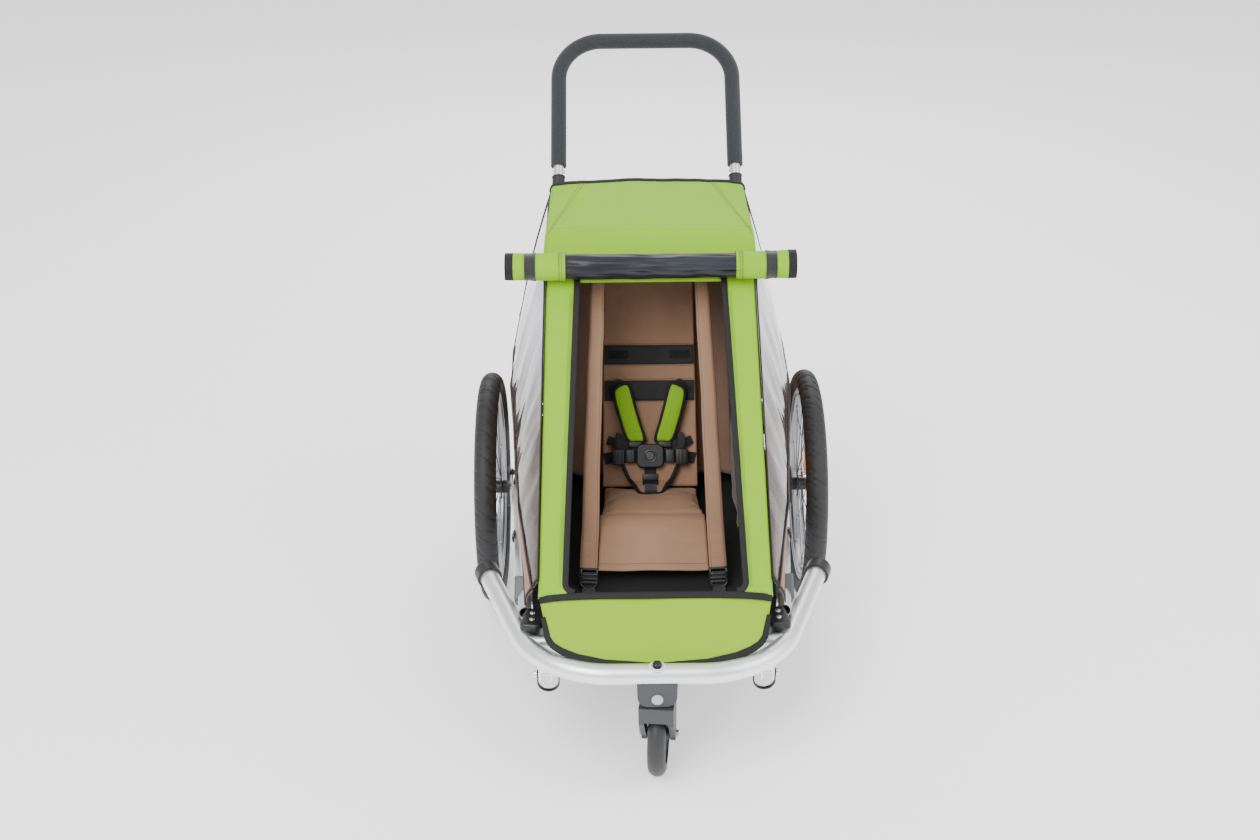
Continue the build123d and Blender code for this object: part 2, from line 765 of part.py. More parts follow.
caster_axis = Axis(point(0, caster_axle_y, caster_radius), (1, 0, 0))
caster_plane = Plane(origin=point(0, caster_axle_y, caster_radius), x_dir=(1, 0, 0), z_dir=(0, -1, 0))
caster_rim_radius = caster_radius - 23.0
caster_half = 16.5
with BuildPart() as caster_rim:
    with BuildSketch(caster_plane):
        with BuildLine():
            bore = bolt_radius + running_gap
            Polyline(
                (-arm_in + 1.0, bore),
                (-arm_in + 1.0, 11.0),
                (-9.0, 13.0),
                (-6.0, 20.0),
                (-6.0, caster_rim_radius - 12.0),
                (-13.5, caster_rim_radius - 6.0),
                (-13.5, caster_rim_radius),
                (13.5, caster_rim_radius),
                (13.5, caster_rim_radius - 6.0),
                (6.0, caster_rim_radius - 12.0),
                (6.0, 20.0),
                (9.0, 13.0),
                (arm_in - 1.0, 11.0),
                (arm_in - 1.0, bore),
                close=True,
            )
        make_face()
    revolve(axis=caster_axis)
save(turned(caster_rim), "caster_rim")

tread_radius = caster_radius - 12.0
with BuildPart() as caster_tyre:
    with BuildSketch(caster_plane):
        with BuildLine():
            l1 = Polyline(
                (-caster_half, tread_radius),
                (-caster_half, caster_rim_radius + weld_gap),
                (caster_half, caster_rim_radius + weld_gap),
                (caster_half, tread_radius),
            )
            ThreePointArc(l1 @ 1, (0, caster_radius), l1 @ 0)
        make_face()
    revolve(axis=caster_axis)
save(turned(caster_tyre), "caster_tyre")

# ================================================================ upper frame
slope_foot_z = slope_height(hinge_y) - slope_offset
socket_radius = 13.5
socket_length = 24.0
socket_root = 8.0
socket_clamp = 16.0
leg_plane = Plane(
    origin=point(leg_x, socket_base[0], socket_base[1]),
    x_dir=(1, 0, 0),
    z_dir=(0, leg_dir[0], leg_dir[1]),
)
with BuildPart() as upper_tube_left:
    with BuildLine() as upper_path:
        FilletPolyline(
            point(upper_x, hinge_y, slope_foot_z),
            point(upper_x, bend_y, bend_z),
            point(upper_x, tube_end_y, tube_end_z),
            radius=upper_bend,
        )
    with BuildSketch(Plane(origin=upper_path.line @ 0, z_dir=upper_path.line % 0)):
        Circle(upper_radius)
    sweep(path=upper_path.line)
    with BuildSketch(side_plane(upper_x)):
        with Locations((hinge_y, hinge_z)):
            Circle(hinge_boss - 1.0)
    extrude(amount=upper_radius - 0.6, both=True)
    with BuildSketch(side_plane(upper_x)):
        with Locations((hinge_y, hinge_z)):
            Circle(hinge_pin_radius + running_gap)
    extrude(amount=upper_radius + 1.0, both=True, mode=Mode.SUBTRACT)
    with BuildSketch(side_plane(upper_x)):
        with Locations(stay_top):
            Circle(stay_pin_radius)
    extrude(amount=upper_stay_x + stay_thick / 2 + 1.0 - upper_x)
save(upper_tube_left, "upper_tube_left")
save(mirrored(upper_tube_left), "upper_tube_right")

# sockets of the push bar: castings clamped on the side tubes' ends
with BuildPart() as handle_socket_left:
    with BuildSketch(leg_plane.offset(-socket_root)):
        Circle(socket_radius)
    extrude(amount=socket_root + socket_length)
    with BuildSketch(side_plane((upper_x + leg_x) / 2)):
        with Locations((tube_end_y - socket_clamp / 2, tube_end_z)):
            Rectangle(socket_clamp, 2 * upper_radius + 5.0)
    extrude(amount=upper_radius + 4.0, both=True)
    with BuildSketch(leg_plane):
        Circle(leg_radius + running_gap)
    extrude(amount=socket_length + 1.0, mode=Mode.SUBTRACT)
    with BuildLine() as clamp_line:
        Line(point(upper_x, stay_top[0], stay_top[1]), point(upper_x, tube_end_y, tube_end_z))
    with BuildSketch(Plane(origin=clamp_line.line @ 0, z_dir=clamp_line.line % 0)):
        Circle(upper_radius + weld_gap)
    sweep(path=clamp_line.line, mode=Mode.SUBTRACT)
save(both_sides(handle_socket_left), "handle_sockets")


top_bar_radius = 9.0
top_bar_places = [(-62.0, 826.0), (tube_end_y - 8.0, tube_end_z - 1.0)]
with BuildPart() as top_bars:
    for place in top_bar_places:
        with BuildSketch(side_plane(0)):
            with Locations(place):
                Circle(top_bar_radius)
                Circle(top_bar_radius - tube_wall, mode=Mode.SUBTRACT)
        extrude(amount=upper_x - upper_radius - weld_gap, both=True)
save(top_bars, "top_bars")

# folding stays: two flat links on each side with a knee between them
stay_length = hypot(stay_top[0] - stay_base[0], stay_top[1] - stay_base[1])
knee = ((stay_top[0] + stay_base[0]) / 2, (stay_top[1] + stay_base[1]) / 2)


def stay_link(x, pivot, pivot_to, rivet_side):
    """A flat link bored for its own pivot, with the head of the knee's rivet at its other end."""
    with BuildPart() as link:
        with BuildSketch(side_plane(x)):
            with BuildLine():
                Line(pivot, pivot_to)
            trace(line_width=stay_width)
            with Locations(pivot, pivot_to):
                Circle(stay_width / 2)
            with Locations(pivot):
                Circle(stay_pin_radius + running_gap, mode=Mode.SUBTRACT)
        extrude(amount=stay_thick / 2, both=True)
        with BuildSketch(side_plane(x)):
            with Locations(pivot_to):
                Circle(rivet_head)
        extrude(amount=rivet_side * (stay_thick / 2 + 2.5))
    return link


rivet_head = 7.0
save(both_sides(stay_link(lower_stay_x, stay_base, knee, 1)), "stays_lower")
save(both_sides(stay_link(upper_stay_x, stay_top, knee, -1)), "stays_upper")

# ================================================================ push bar
leg_foot = 2.0                 # above the socket's base
grip_start = 50.0              # foam's lower end, along the leg
handle_bend = 92.0
snap_place = 37.0              # snap buttons, along the leg
snap_radius = 3.5


def leg_point(side, along):
    return point(
        side * leg_x,
        socket_base[0] + along * leg_dir[0],
        socket_base[1] + along * leg_dir[1],
    )


handle_path_points = [
    leg_point(-1, leg_foot),
    leg_point(-1, handle_length),
    leg_point(1, handle_length),
    leg_point(1, leg_foot),
]
snap_plane = Plane(
    origin=leg_point(1, snap_place),
    x_dir=(0, leg_dir[0], leg_dir[1]),
    z_dir=(-1, 0, 0),
)
with BuildPart() as handle_tube:
    add(bent_tube(handle_path_points, leg_radius, 1.6, handle_bend).part)
    with BuildSketch(snap_plane):
        Circle(snap_radius + running_gap)
    extrude(amount=leg_radius + 1.0, mode=Mode.SUBTRACT)
    with BuildSketch(snap_plane.offset(2 * leg_x)):
        Circle(snap_radius + running_gap)
    extrude(amount=-leg_radius - 1.0, mode=Mode.SUBTRACT)
save(handle_tube, "handle_tube")

foam_points = [
    leg_point(-1, grip_start),
    leg_point(-1, handle_length),
    leg_point(1, handle_length),
    leg_point(1, grip_start),
]
with BuildPart() as handle_foam:
    with BuildLine() as foam_path:
        FilletPolyline(*foam_points, radius=handle_bend)
    with BuildSketch(Plane(origin=foam_path.line @ 0, z_dir=foam_path.line % 0)):
        Circle(grip_radius)
        Circle(leg_radius + weld_gap, mode=Mode.SUBTRACT)
    sweep(path=foam_path.line)
save(handle_foam, "handle_foam")

with BuildPart() as snap_button_left:
    with BuildSketch(snap_plane.offset(leg_radius - 6.0)):
        Circle(snap_radius)
    extrude(amount=9.0)
    fillet(snap_button_left.edges().group_by(Axis.X)[0], 1.6)
save(snap_button_left, "snap_button_left")
save(mirrored(snap_button_left), "snap_button_right")

# ================================================================ cabin fabric
foot_y = -590.0
slope_plane = Plane(
    origin=point(0, foot_y, slope_height(foot_y)),
    x_dir=(1, 0, 0),
    z_dir=(0, -sin(radians(slope_angle)), cos(radians(slope_angle))),
)
foot_half = 215.5
head_half = 203.0
opening_foot_half = 162.0
opening_head_half = 139.0
opening_foot = 12.0
opening_head = 624.0
surround_head = 640.0

with BuildPart() as front_surround:
    with BuildSketch(slope_plane):
        with BuildLine():
            l1 = Polyline((0, 2.0), (foot_half, 2.0), (head_half, surround_head), (0, surround_head))
            mirror(l1, about=Plane.YZ)
        make_face()
        with BuildLine():
            l2 = Polyline(
                (0, opening_foot),
                (opening_foot_half, opening_foot),
                (opening_head_half, opening_head),
                (0, opening_head),
            )
            mirror(l2, about=Plane.YZ)
        make_face(mode=Mode.SUBTRACT)
    extrude(amount=-cloth)
save(front_surround, "front_surround")

panel_foot_half = 192.0
with BuildPart() as lower_front_panel:
    with BuildSketch(slope_plane):
        with BuildLine():
            l1 = Polyline(
                (0, 0),
                (foot_half, 0),
                (foot_half - 4.0, -30.0),
                (panel_foot_half + 6.0, -80.0),
            )
            l2 = Spline(l1 @ 1, (panel_foot_half - 20.0, -102.0), (96.0, -123.0), (0, -134.0))
            mirror(l1, about=Plane.YZ)
            mirror(l2, about=Plane.YZ)
        make_face()
    extrude(amount=-cloth)
    add(bent_tube(bumper_points, bumper_radius + 0.6, 0, bumper_bend).part, mode=Mode.SUBTRACT)
save(lower_front_panel, "lower_front_panel")

# roof cover: the end of the front face, the crease and the roof, in one sheet
roof_front_y = foot_y + (surround_head + 3.0) * cos(radians(slope_angle))
roof_front_half = 214.0
roof_half = roof_width / 2
crease_bend = 40.0
with BuildPart() as roof_cover:
    with BuildSketch(side_plane(0)):
        with BuildLine():
            FilletPolyline(
                (roof_front_y, slope_height(roof_front_y) - cloth / 2),
                (crease_y, crease_z - cloth / 2),
                (roof_rear_y, roof_height(roof_rear_y) - cloth / 2),
                radius=crease_bend,
            )
        trace(line_width=cloth)
    extrude(amount=roof_front_half, both=True)
    with BuildSketch(level_plane(0)):
        with BuildLine():
            l1 = Polyline(
                (0, roof_front_y - 20.0),
                (roof_front_half, roof_front_y - 20.0),
                (roof_half, roof_rear_y + 20.0),
                (0, roof_rear_y + 20.0),
            )
            mirror(l1, about=Plane.YZ)
        make_face()
    extrude(amount=crease_z + 200.0, mode=Mode.INTERSECT)
save(roof_cover, "roof_cover")

# rolled-up front cover, across the head of the opening
roll_radius = 28.0
roll_half = 282.0
roll_gap = 1.0
roll_along = 646.0
with BuildPart() as cover_roll:
    with BuildSketch(Plane(origin=slope_plane.origin, x_dir=(0, 1, 0), z_dir=(1, 0, 0))):
        with Locations(
            (
                roll_along * cos(radians(slope_angle)) - (roll_radius + roll_gap) * sin(radians(slope_angle)),
                roll_along * sin(radians(slope_angle)) + (roll_radius + roll_gap) * cos(radians(slope_angle)),
            )
        ):
            Circle(roll_radius)
    extrude(amount=roll_half, both=True)
    chamfer(cover_roll.edges().filter_by(GeomType.CIRCLE), 5.0)
save(cover_roll, "cover_roll")

# side walls: each a bowed sheet from the front face and the roof down to the rail,
# widest at the child's elbows
wall_gap = 3.0


def wall_top(y):
    under = cloth + wall_gap
    if y < crease_y:
        return slope_height(y) - under / cos(radians(slope_angle))
    return roof_height(y) - under


wall_foot_z = rail_height + rail_radius + 0.5
wall_rear = 345.0
wall_stations = [
    (-562.0, wall_top(-562.0), 217.0, 344.0, 228.0, 318.0, 240.0),
    (-400.0, wall_top(-400.0), 213.0, 430.0, 258.0, wall_foot_z + 23.0, rail_front_x + 8.0),
    (-100.0, wall_top(-100.0), 205.0, 540.0, 284.0, wall_foot_z, rail_x - 2.0),
    (60.0, wall_top(60.0), 203.0, 550.0, 286.0, wall_foot_z, rail_x - 2.0),
    (wall_rear, wall_top(60.0), 201.0, 540.0, 280.0, wall_foot_z, rail_x - 2.0),
]

# line of the rear panel, behind the stays
stay_dir = ((stay_top[0] - stay_base[0]) / stay_length, (stay_top[1] - stay_base[1]) / stay_length)
rear_offset = stay_width / 2 + 4.0
rear_foot_z = rail_height + rail_radius + 5.0
rear_head_z = 838.0


def rear_line(z):
    """Rear panel's inner face: its distance behind the axle at height z."""
    along = (z - stay_base[1]) / stay_dir[1]
    return stay_base[0] + along * stay_dir[0] + rear_offset / stay_dir[1]


with BuildPart() as side_wall_left:
    for y, top_z, top_x, belt_z, belt_x, foot_z, foot_x in wall_stations:
        with BuildSketch(cross_plane(y)):
            with BuildLine():
                Polyline(
                    (top_x, top_z),
                    (belt_x, belt_z),
                    (foot_x, foot_z),
                    (foot_x - cloth, foot_z),
                    (belt_x - cloth, belt_z),
                    (top_x - cloth, top_z),
                    close=True,
                )
            make_face()
    loft(ruled=True)
    with BuildSketch(side_plane(0)):
        with BuildLine():
            Polyline(
                (rear_line(0) - 2.0, 0),
                (rear_line(1000.0) - 2.0, 1000.0),
                (wall_rear + 400.0, 1000.0),
                (wall_rear + 400.0, 0),
                close=True,
            )
        make_face()
    extrude(amount=2 * rail_x, mode=Mode.SUBTRACT)
save(side_wall_left, "side_wall_left")
save(mirrored(side_wall_left), "side_wall_right")

rear_plane = Plane(
    origin=point(0, rear_line(rear_foot_z), rear_foot_z),
    x_dir=(-1, 0, 0),
    z_dir=(0, stay_dir[1], -stay_dir[0]),
)
rear_height = (rear_head_z - rear_foot_z) / stay_dir[1]
with BuildPart() as rear_panel:
    with BuildSketch(rear_plane):
        with BuildLine():
            l1 = Polyline(
                (0, 0),
                (rail_x - 6.0, 0),
                (278.0, 0.45 * rear_height),
                (roof_half - 1.0, rear_height),
                (0, rear_height),
            )
            mirror(l1, about=Plane.YZ)
        make_face()
    extrude(amount=cloth)
save(rear_panel, "rear_panel")

# ================================================================ seat
seat_top = (100.0, 730.0)
seat_crease = (-120.0, 306.0)
seat_front = (-325.0, 348.0)
seat_hem = (-412.0, 288.0)
seat_half = 104.0
pad = 6.0
with BuildPart() as seat_base:
    with BuildSketch(side_plane(0)):
        with BuildLine():
            FilletPolyline(
                (seat_crease[0] - 3.0, seat_crease[1]),
                seat_front,
                seat_hem,
                radius=25.0,
            )
        trace(line_width=pad)
    extrude(amount=seat_half, both=True)
save(seat_base, "seat_base")

band_half = 16.0
band_thick = 7.0
band_foot_x = 125.0
band_head_x = 103.0
band_foot = (-413.0, 292.0)
band_head = (-55.0, 770.0)
band_dir = Vector(
    band_head_x - band_foot_x, band_head[0] - band_foot[0], band_head[1] - band_foot[1]
).normalized()
band_plane = Plane(origin=point(band_foot_x, *band_foot), x_dir=(1, 0, 0), z_dir=band_dir)
band_run = hypot(band_head_x - band_foot_x, band_head[0] - band_foot[0], band_head[1] - band_foot[1])
with BuildPart() as seat_band_left:
    with BuildSketch(band_plane):
        RectangleRounded(2 * band_half, band_thick, 3.0)
    extrude(amount=band_run)

with BuildPart() as seat_back:
    with BuildSketch(side_plane(0)):
        with BuildLine():
            Line((seat_crease[0], seat_crease[1] + pad + 3.0), seat_top)
        trace(line_width=pad)
    extrude(amount=seat_half - 10.0, both=True)
    add(seat_band_left.part)
    mirror(seat_band_left.part, about=Plane.YZ)
save(seat_back, "seat_back")

# ================================================================ harness
back_lean = atan2(seat_top[0] - seat_crease[0], seat_top[1] - seat_crease[1])
back_plane = Plane(
    origin=point(0, *seat_crease),
    x_dir=(1, 0, 0),
    z_dir=(0, -cos(back_lean), sin(back_lean)),
)
pad_lift = 8.0                 # harness pads above the seat back's middle line
pad_thick = 9.0
buckle_along = 70.0
buckle_lift = 20.0
with BuildPart() as harness_buckle:
    with BuildSketch(back_plane.offset(buckle_lift)):
        with Locations((0, buckle_along)):
            RectangleRounded(58.0, 50.0, 14.0)
    extrude(amount=15.0)
    fillet(harness_buckle.faces().sort_by(Axis(back_plane.origin, back_plane.z_dir))[-1].edges(), 4.0)
    with BuildSketch(back_plane.offset(buckle_lift + 6.0)):
        with Locations((0, buckle_along)):
            Circle(9.4)
    extrude(amount=12.0, mode=Mode.SUBTRACT)
save(harness_buckle, "harness_buckle")

with BuildPart() as buckle_button:
    with BuildSketch(back_plane.offset(buckle_lift + 10.0)):
        with Locations((0, buckle_along)):
            Circle(9.0)
    extrude(amount=6.5)
    fillet(buckle_button.edges().group_by(Axis(back_plane.origin, back_plane.z_dir))[-1], 1.5)
save(buckle_button, "buckle_button")

with BuildPart() as harness_pads:
    for side in (-1, 1):
        with BuildSketch(back_plane.offset(pad_lift)):
            with Locations(Location((side * 42.0, 170.0), side * -13.0)):
                RectangleRounded(33.0, 118.0, 6.0)
        extrude(amount=pad_thick)
    with BuildSketch(back_plane.offset(pad_lift)):
        with BuildLine():
            l1 = Polyline((0, 104.0), (14.0, 104.0), (62.0, 66.0), (62.0, 46.0), (26.0, 22.0), (0, 22.0))
            mirror(l1, about=Plane.YZ)
        make_face()
    extrude(amount=pad_thick)
save(harness_pads, "harness_pads")
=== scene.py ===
import math
import bmesh
import bpy
from mathutils import Matrix, Vector, noise


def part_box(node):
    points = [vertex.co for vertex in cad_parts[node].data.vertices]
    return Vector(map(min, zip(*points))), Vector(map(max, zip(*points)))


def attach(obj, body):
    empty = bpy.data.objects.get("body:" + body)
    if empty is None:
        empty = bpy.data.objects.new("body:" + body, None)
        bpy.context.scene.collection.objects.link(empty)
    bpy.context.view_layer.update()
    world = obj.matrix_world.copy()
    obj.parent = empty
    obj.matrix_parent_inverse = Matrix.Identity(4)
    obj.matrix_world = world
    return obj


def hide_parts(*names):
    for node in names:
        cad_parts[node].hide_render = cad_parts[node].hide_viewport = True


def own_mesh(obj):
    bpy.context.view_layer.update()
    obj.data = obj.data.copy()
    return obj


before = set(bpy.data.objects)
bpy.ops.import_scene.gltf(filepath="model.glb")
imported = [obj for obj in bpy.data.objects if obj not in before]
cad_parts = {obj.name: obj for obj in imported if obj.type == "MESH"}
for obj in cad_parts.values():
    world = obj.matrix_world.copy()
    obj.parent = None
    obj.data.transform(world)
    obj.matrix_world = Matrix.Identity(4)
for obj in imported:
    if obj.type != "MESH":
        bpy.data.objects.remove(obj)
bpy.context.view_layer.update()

mm = 0.001
axleY = sum(corner[1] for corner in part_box("hub_left")) / 2
print("frame loaded, main axle at y =", round(axleY, 4))


def at(x, y, z):
    # millimetres from the main axle's middle on the ground
    return Vector((x * mm, axleY + y * mm, z * mm))


def mix(a, b, t):
    return a + (b - a) * t


def smooth(t):
    t = min(1.0, max(0.0, t))
    return t * t * (3 - 2 * t)


# ---- shader maths: a socket that can be added, multiplied and compared

class Val:
    def __init__(self, tree, socket):
        self.tree, self.socket = tree, socket

    def maths(self, operation, other=None, flip=False):
        inputs = [other, self] if flip else [self, other]
        if other is None:
            inputs = [self]
        return self.tree.add("ShaderNodeMath", {"operation": operation}, inputs)

    def __add__(self, other): return self.maths("ADD", other)
    def __radd__(self, other): return self.maths("ADD", other)
    def __sub__(self, other): return self.maths("SUBTRACT", other)
    def __rsub__(self, other): return self.maths("SUBTRACT", other, True)
    def __mul__(self, other): return self.maths("MULTIPLY", other)
    def __rmul__(self, other): return self.maths("MULTIPLY", other)
    def __truediv__(self, other): return self.maths("DIVIDE", other)
    def __gt__(self, other): return self.maths("GREATER_THAN", other)
    def __lt__(self, other): return self.maths("LESS_THAN", other)


class Shader:
    # one material's tree, with its Principled shader ready
    def __init__(self, name, **constants):
        self.material = bpy.data.materials.new(name)
        self.material.use_nodes = True
        self.nodes = self.material.node_tree.nodes
        self.links = self.material.node_tree.links
        self.surface = self.nodes["Principled BSDF"]
        for key, value in constants.items():
            self.surface.inputs[key.replace("_", " ")].default_value = value

    def add(self, kind, settings=None, inputs=(), output=0):
        node = self.nodes.new(kind)
        for key, value in (settings or {}).items():
            if key == "stops":
                ramp = node.color_ramp
                while len(ramp.elements) < len(value):
                    ramp.elements.new(0.5)
                for element, (place, colour) in zip(ramp.elements, value):
                    element.position, element.color = place, (*colour, 1)
            else:
                setattr(node, key, value)
        pairs = inputs.items() if isinstance(inputs, dict) else enumerate(inputs)
        for key, value in pairs:
            if isinstance(value, Val):
                self.links.new(value.socket, node.inputs[key])
            else:
                node.inputs[key].default_value = value
        return Val(self, node.outputs[output])

    def coords(self, kind="Object"):
        return self.add("ShaderNodeTexCoord", output=kind)

    def uv(self):
        return self.coords("UV")

    def split(self, vector):
        node = self.nodes.new("ShaderNodeSeparateXYZ")
        self.links.new(vector.socket, node.inputs[0])
        return [Val(self, node.outputs[i]) for i in range(3)]

    def noise(self, where, scale, detail=3.0, rough=0.55):
        return self.add("ShaderNodeTexNoise", {}, {"Vector": where, "Scale": scale, "Detail": detail,
                                                   "Roughness": rough})

    def stretched(self, where, scale):
        return self.add("ShaderNodeMapping", {}, {"Vector": where, "Scale": scale})

    def blend(self, factor, a, b):
        node = self.nodes.new("ShaderNodeMix")
        node.data_type = "RGBA"
        node.clamp_factor = True
        for index, value in ((0, factor), (6, a), (7, b)):
            if isinstance(value, Val):
                self.links.new(value.socket, node.inputs[index])
            else:
                node.inputs[index].default_value = value if index == 0 else (*value, 1)
        return Val(self, node.outputs[2])

    def into(self, name, value):
        self.links.new(value.socket, self.surface.inputs[name])

    def bump(self, height, strength, distance):
        values = {"Height": height, "Strength": strength, "Distance": distance}
        result = self.add("ShaderNodeBump", {}, values)
        self.into("Normal", result)


def linear(r, g, b):
    # 0-255 screen values to the renderer's own
    return tuple(((c / 255 + 0.055) / 1.055) ** 2.4 if c > 10 else c / 255 / 12.92 for c in (r, g, b))


fabricPitch = {"coated": 0.0011, "canvas": 0.0016, "webbing": 0.0024}


def fabric(name, colour, weave="coated", rough=0.72, sheen=0.25, soften=0.16, bump=0.35):
    # woven cloth: threads on the piece's own UV map, which is in metres
    sh = Shader(name, Sheen_Weight=sheen, Sheen_Roughness=0.5, Specular_IOR_Level=0.32)
    u, v, _ = sh.split(sh.uv())
    turn = 2 * math.pi / fabricPitch[weave]
    across = sh.add("ShaderNodeMath", {"operation": "SINE"}, [u * turn])
    along = sh.add("ShaderNodeMath", {"operation": "SINE"}, [v * turn])
    threads = across * along * 0.5 + 0.5
    patches = sh.noise(sh.coords(), 9.0, 4.0)
    fibres = sh.noise(sh.coords(), 420.0, 2.0)
    dark = tuple(c * (1 - soften) for c in colour)
    light = tuple(min(1, c * (1 + soften * 0.8)) for c in colour)
    tone = patches * 0.55 + threads * 0.2 + fibres * 0.25
    sh.into("Base Color", sh.blend(tone * 1.5 - 0.25, dark, light))
    sh.into("Roughness", rough - 0.1 + fibres * 0.2)
    sh.bump(threads * 0.6 + fibres * 0.4, bump, 0.0006)
    return sh.material


def plastic(name, colour, rough=0.45, grain=0.25, coat=0.0, scale=700.0):
    sh = Shader(name, Coat_Weight=coat, Coat_Roughness=0.12)
    fine = sh.noise(sh.coords(), scale, 2.0)
    broad = sh.noise(sh.coords(), 14.0, 4.0)
    dark, light = tuple(c * 0.85 for c in colour), tuple(min(1, c * 1.18) for c in colour)
    sh.into("Base Color", sh.blend(broad, dark, light))
    sh.into("Roughness", rough - 0.06 + broad * 0.12)
    sh.bump(fine, grain, 0.0004)
    return sh.material


def metal(name, colour, rough=0.3, brushed=(1, 1, 1), grain=0.08, metallic=1.0):
    sh = Shader(name, Metallic=metallic)
    lines = sh.noise(sh.stretched(sh.coords(), brushed), 260.0, 3.0)
    broad = sh.noise(sh.coords(), 11.0, 5.0)
    sh.into("Base Color", sh.blend(broad, tuple(c * 0.9 for c in colour), colour))
    sh.into("Roughness", rough - 0.05 + lines * 0.06 + broad * 0.05)
    sh.bump(lines, grain, 0.0003)
    return sh.material


def rubber(name, colour=(0.012, 0.012, 0.013), rough=0.62, dust=0.5):
    sh = Shader(name, Specular_IOR_Level=0.4)
    broad = sh.noise(sh.coords(), 26.0, 6.0)
    fine = sh.noise(sh.coords(), 520.0, 2.0)
    sh.into("Base Color", sh.blend(broad * dust, colour, tuple(c * 2.6 + 0.006 for c in colour)))
    sh.into("Roughness", rough + broad * 0.14 - 0.07)
    sh.bump(fine, 0.3, 0.0003)
    return sh.material


def foamRubber(name):
    sh = Shader(name, Specular_IOR_Level=0.3, Sheen_Weight=0.15)
    cells = sh.add("ShaderNodeTexVoronoi", {}, {"Vector": sh.coords(), "Scale": 620.0})
    broad = sh.noise(sh.coords(), 30.0, 4.0)
    sh.into("Base Color", sh.blend(cells, (0.012, 0.013, 0.015), (0.032, 0.034, 0.038)))
    sh.into("Roughness", 0.72 + broad * 0.16)
    sh.bump(cells, 0.5, 0.0006)
    return sh.material


def windowFilm(name):
    # tinted clear film with painted light: a painted sky reflection makes it greyer and paler higher up, and
    # painted shade makes it dark, streaked brown, below the belt's fold
    sh = Shader(name, Coat_Weight=0.8, Coat_Roughness=0.03, Specular_IOR_Level=0.7)
    place = sh.coords()
    x, y, z = sh.split(place)
    streaks = sh.noise(sh.stretched(place, (9.0, 46.0, 3.2)), 1.0, 5.0, 0.62)
    broad = sh.noise(sh.stretched(place, (4.0, 9.0, 5.0)), 1.0, 3.0)
    height = (z - film["fadeLow"]) / (film["fadeHigh"] - film["fadeLow"]) + (streaks - 0.5) * 0.9
    # low is painted shade, dark with brown streaks; high is a painted sky reflection, lilac to pale; height
    # blends them
    low = sh.blend(streaks * 1.8 - 0.45, film["dark"], film["brown"])
    high = sh.blend(broad, film["skyReflectionLilac"], film["skyReflectionPale"])
    sh.into("Base Color", sh.blend(height, low, high))
    sh.into("Roughness", 0.06 + broad * 0.1)
    sh.into("Alpha", 0.86 + height * 0.1)
    sh.bump(sh.noise(sh.stretched(place, (8.0, 30.0, 5.0)), 1.0, 2.0), 0.35, 0.004)
    return sh.material


# the window's colours: dark and brown paint the shaded cabin seen through the lower film, lilac and pale
# paint the sky's reflection on the upper film
film = {"fadeLow": 0.56, "fadeHigh": 0.72, "dark": linear(40, 34, 34), "brown": linear(112, 92, 80),
        "skyReflectionLilac": linear(176, 174, 190), "skyReflectionPale": linear(206, 205, 216)}


def vinyl(name):
    # clear vinyl rolled over dark cloth
    sh = Shader(name, Coat_Weight=0.12, Coat_Roughness=0.12, Roughness=0.3, Specular_IOR_Level=0.3)
    creases = sh.noise(sh.stretched(sh.coords(), (5.0, 30.0, 30.0)), 1.0, 2.0, 0.5)
    sh.into("Base Color", sh.blend(creases * 1.6 - 0.5, (0.006, 0.007, 0.011), (0.026, 0.029, 0.040)))
    sh.into("Roughness", 0.3 + creases * 0.2)
    sh.bump(creases, 0.1, 0.0015)
    return sh.material


def reflectorLens(name):
    sh = Shader(name, Coat_Weight=1.0, Coat_Roughness=0.03, Specular_IOR_Level=0.6)
    cells = sh.add("ShaderNodeTexVoronoi", {"distance": "CHEBYCHEV"}, {"Vector": sh.coords(), "Scale": 260.0,
                                                                        "Randomness": 0.0})
    sh.into("Base Color", sh.blend(cells * 1.4, linear(255, 150, 40), linear(235, 98, 8)))
    sh.into("Roughness", 0.12 + cells * 0.15)
    sh.bump(cells, 0.7, 0.0012)
    return sh.material


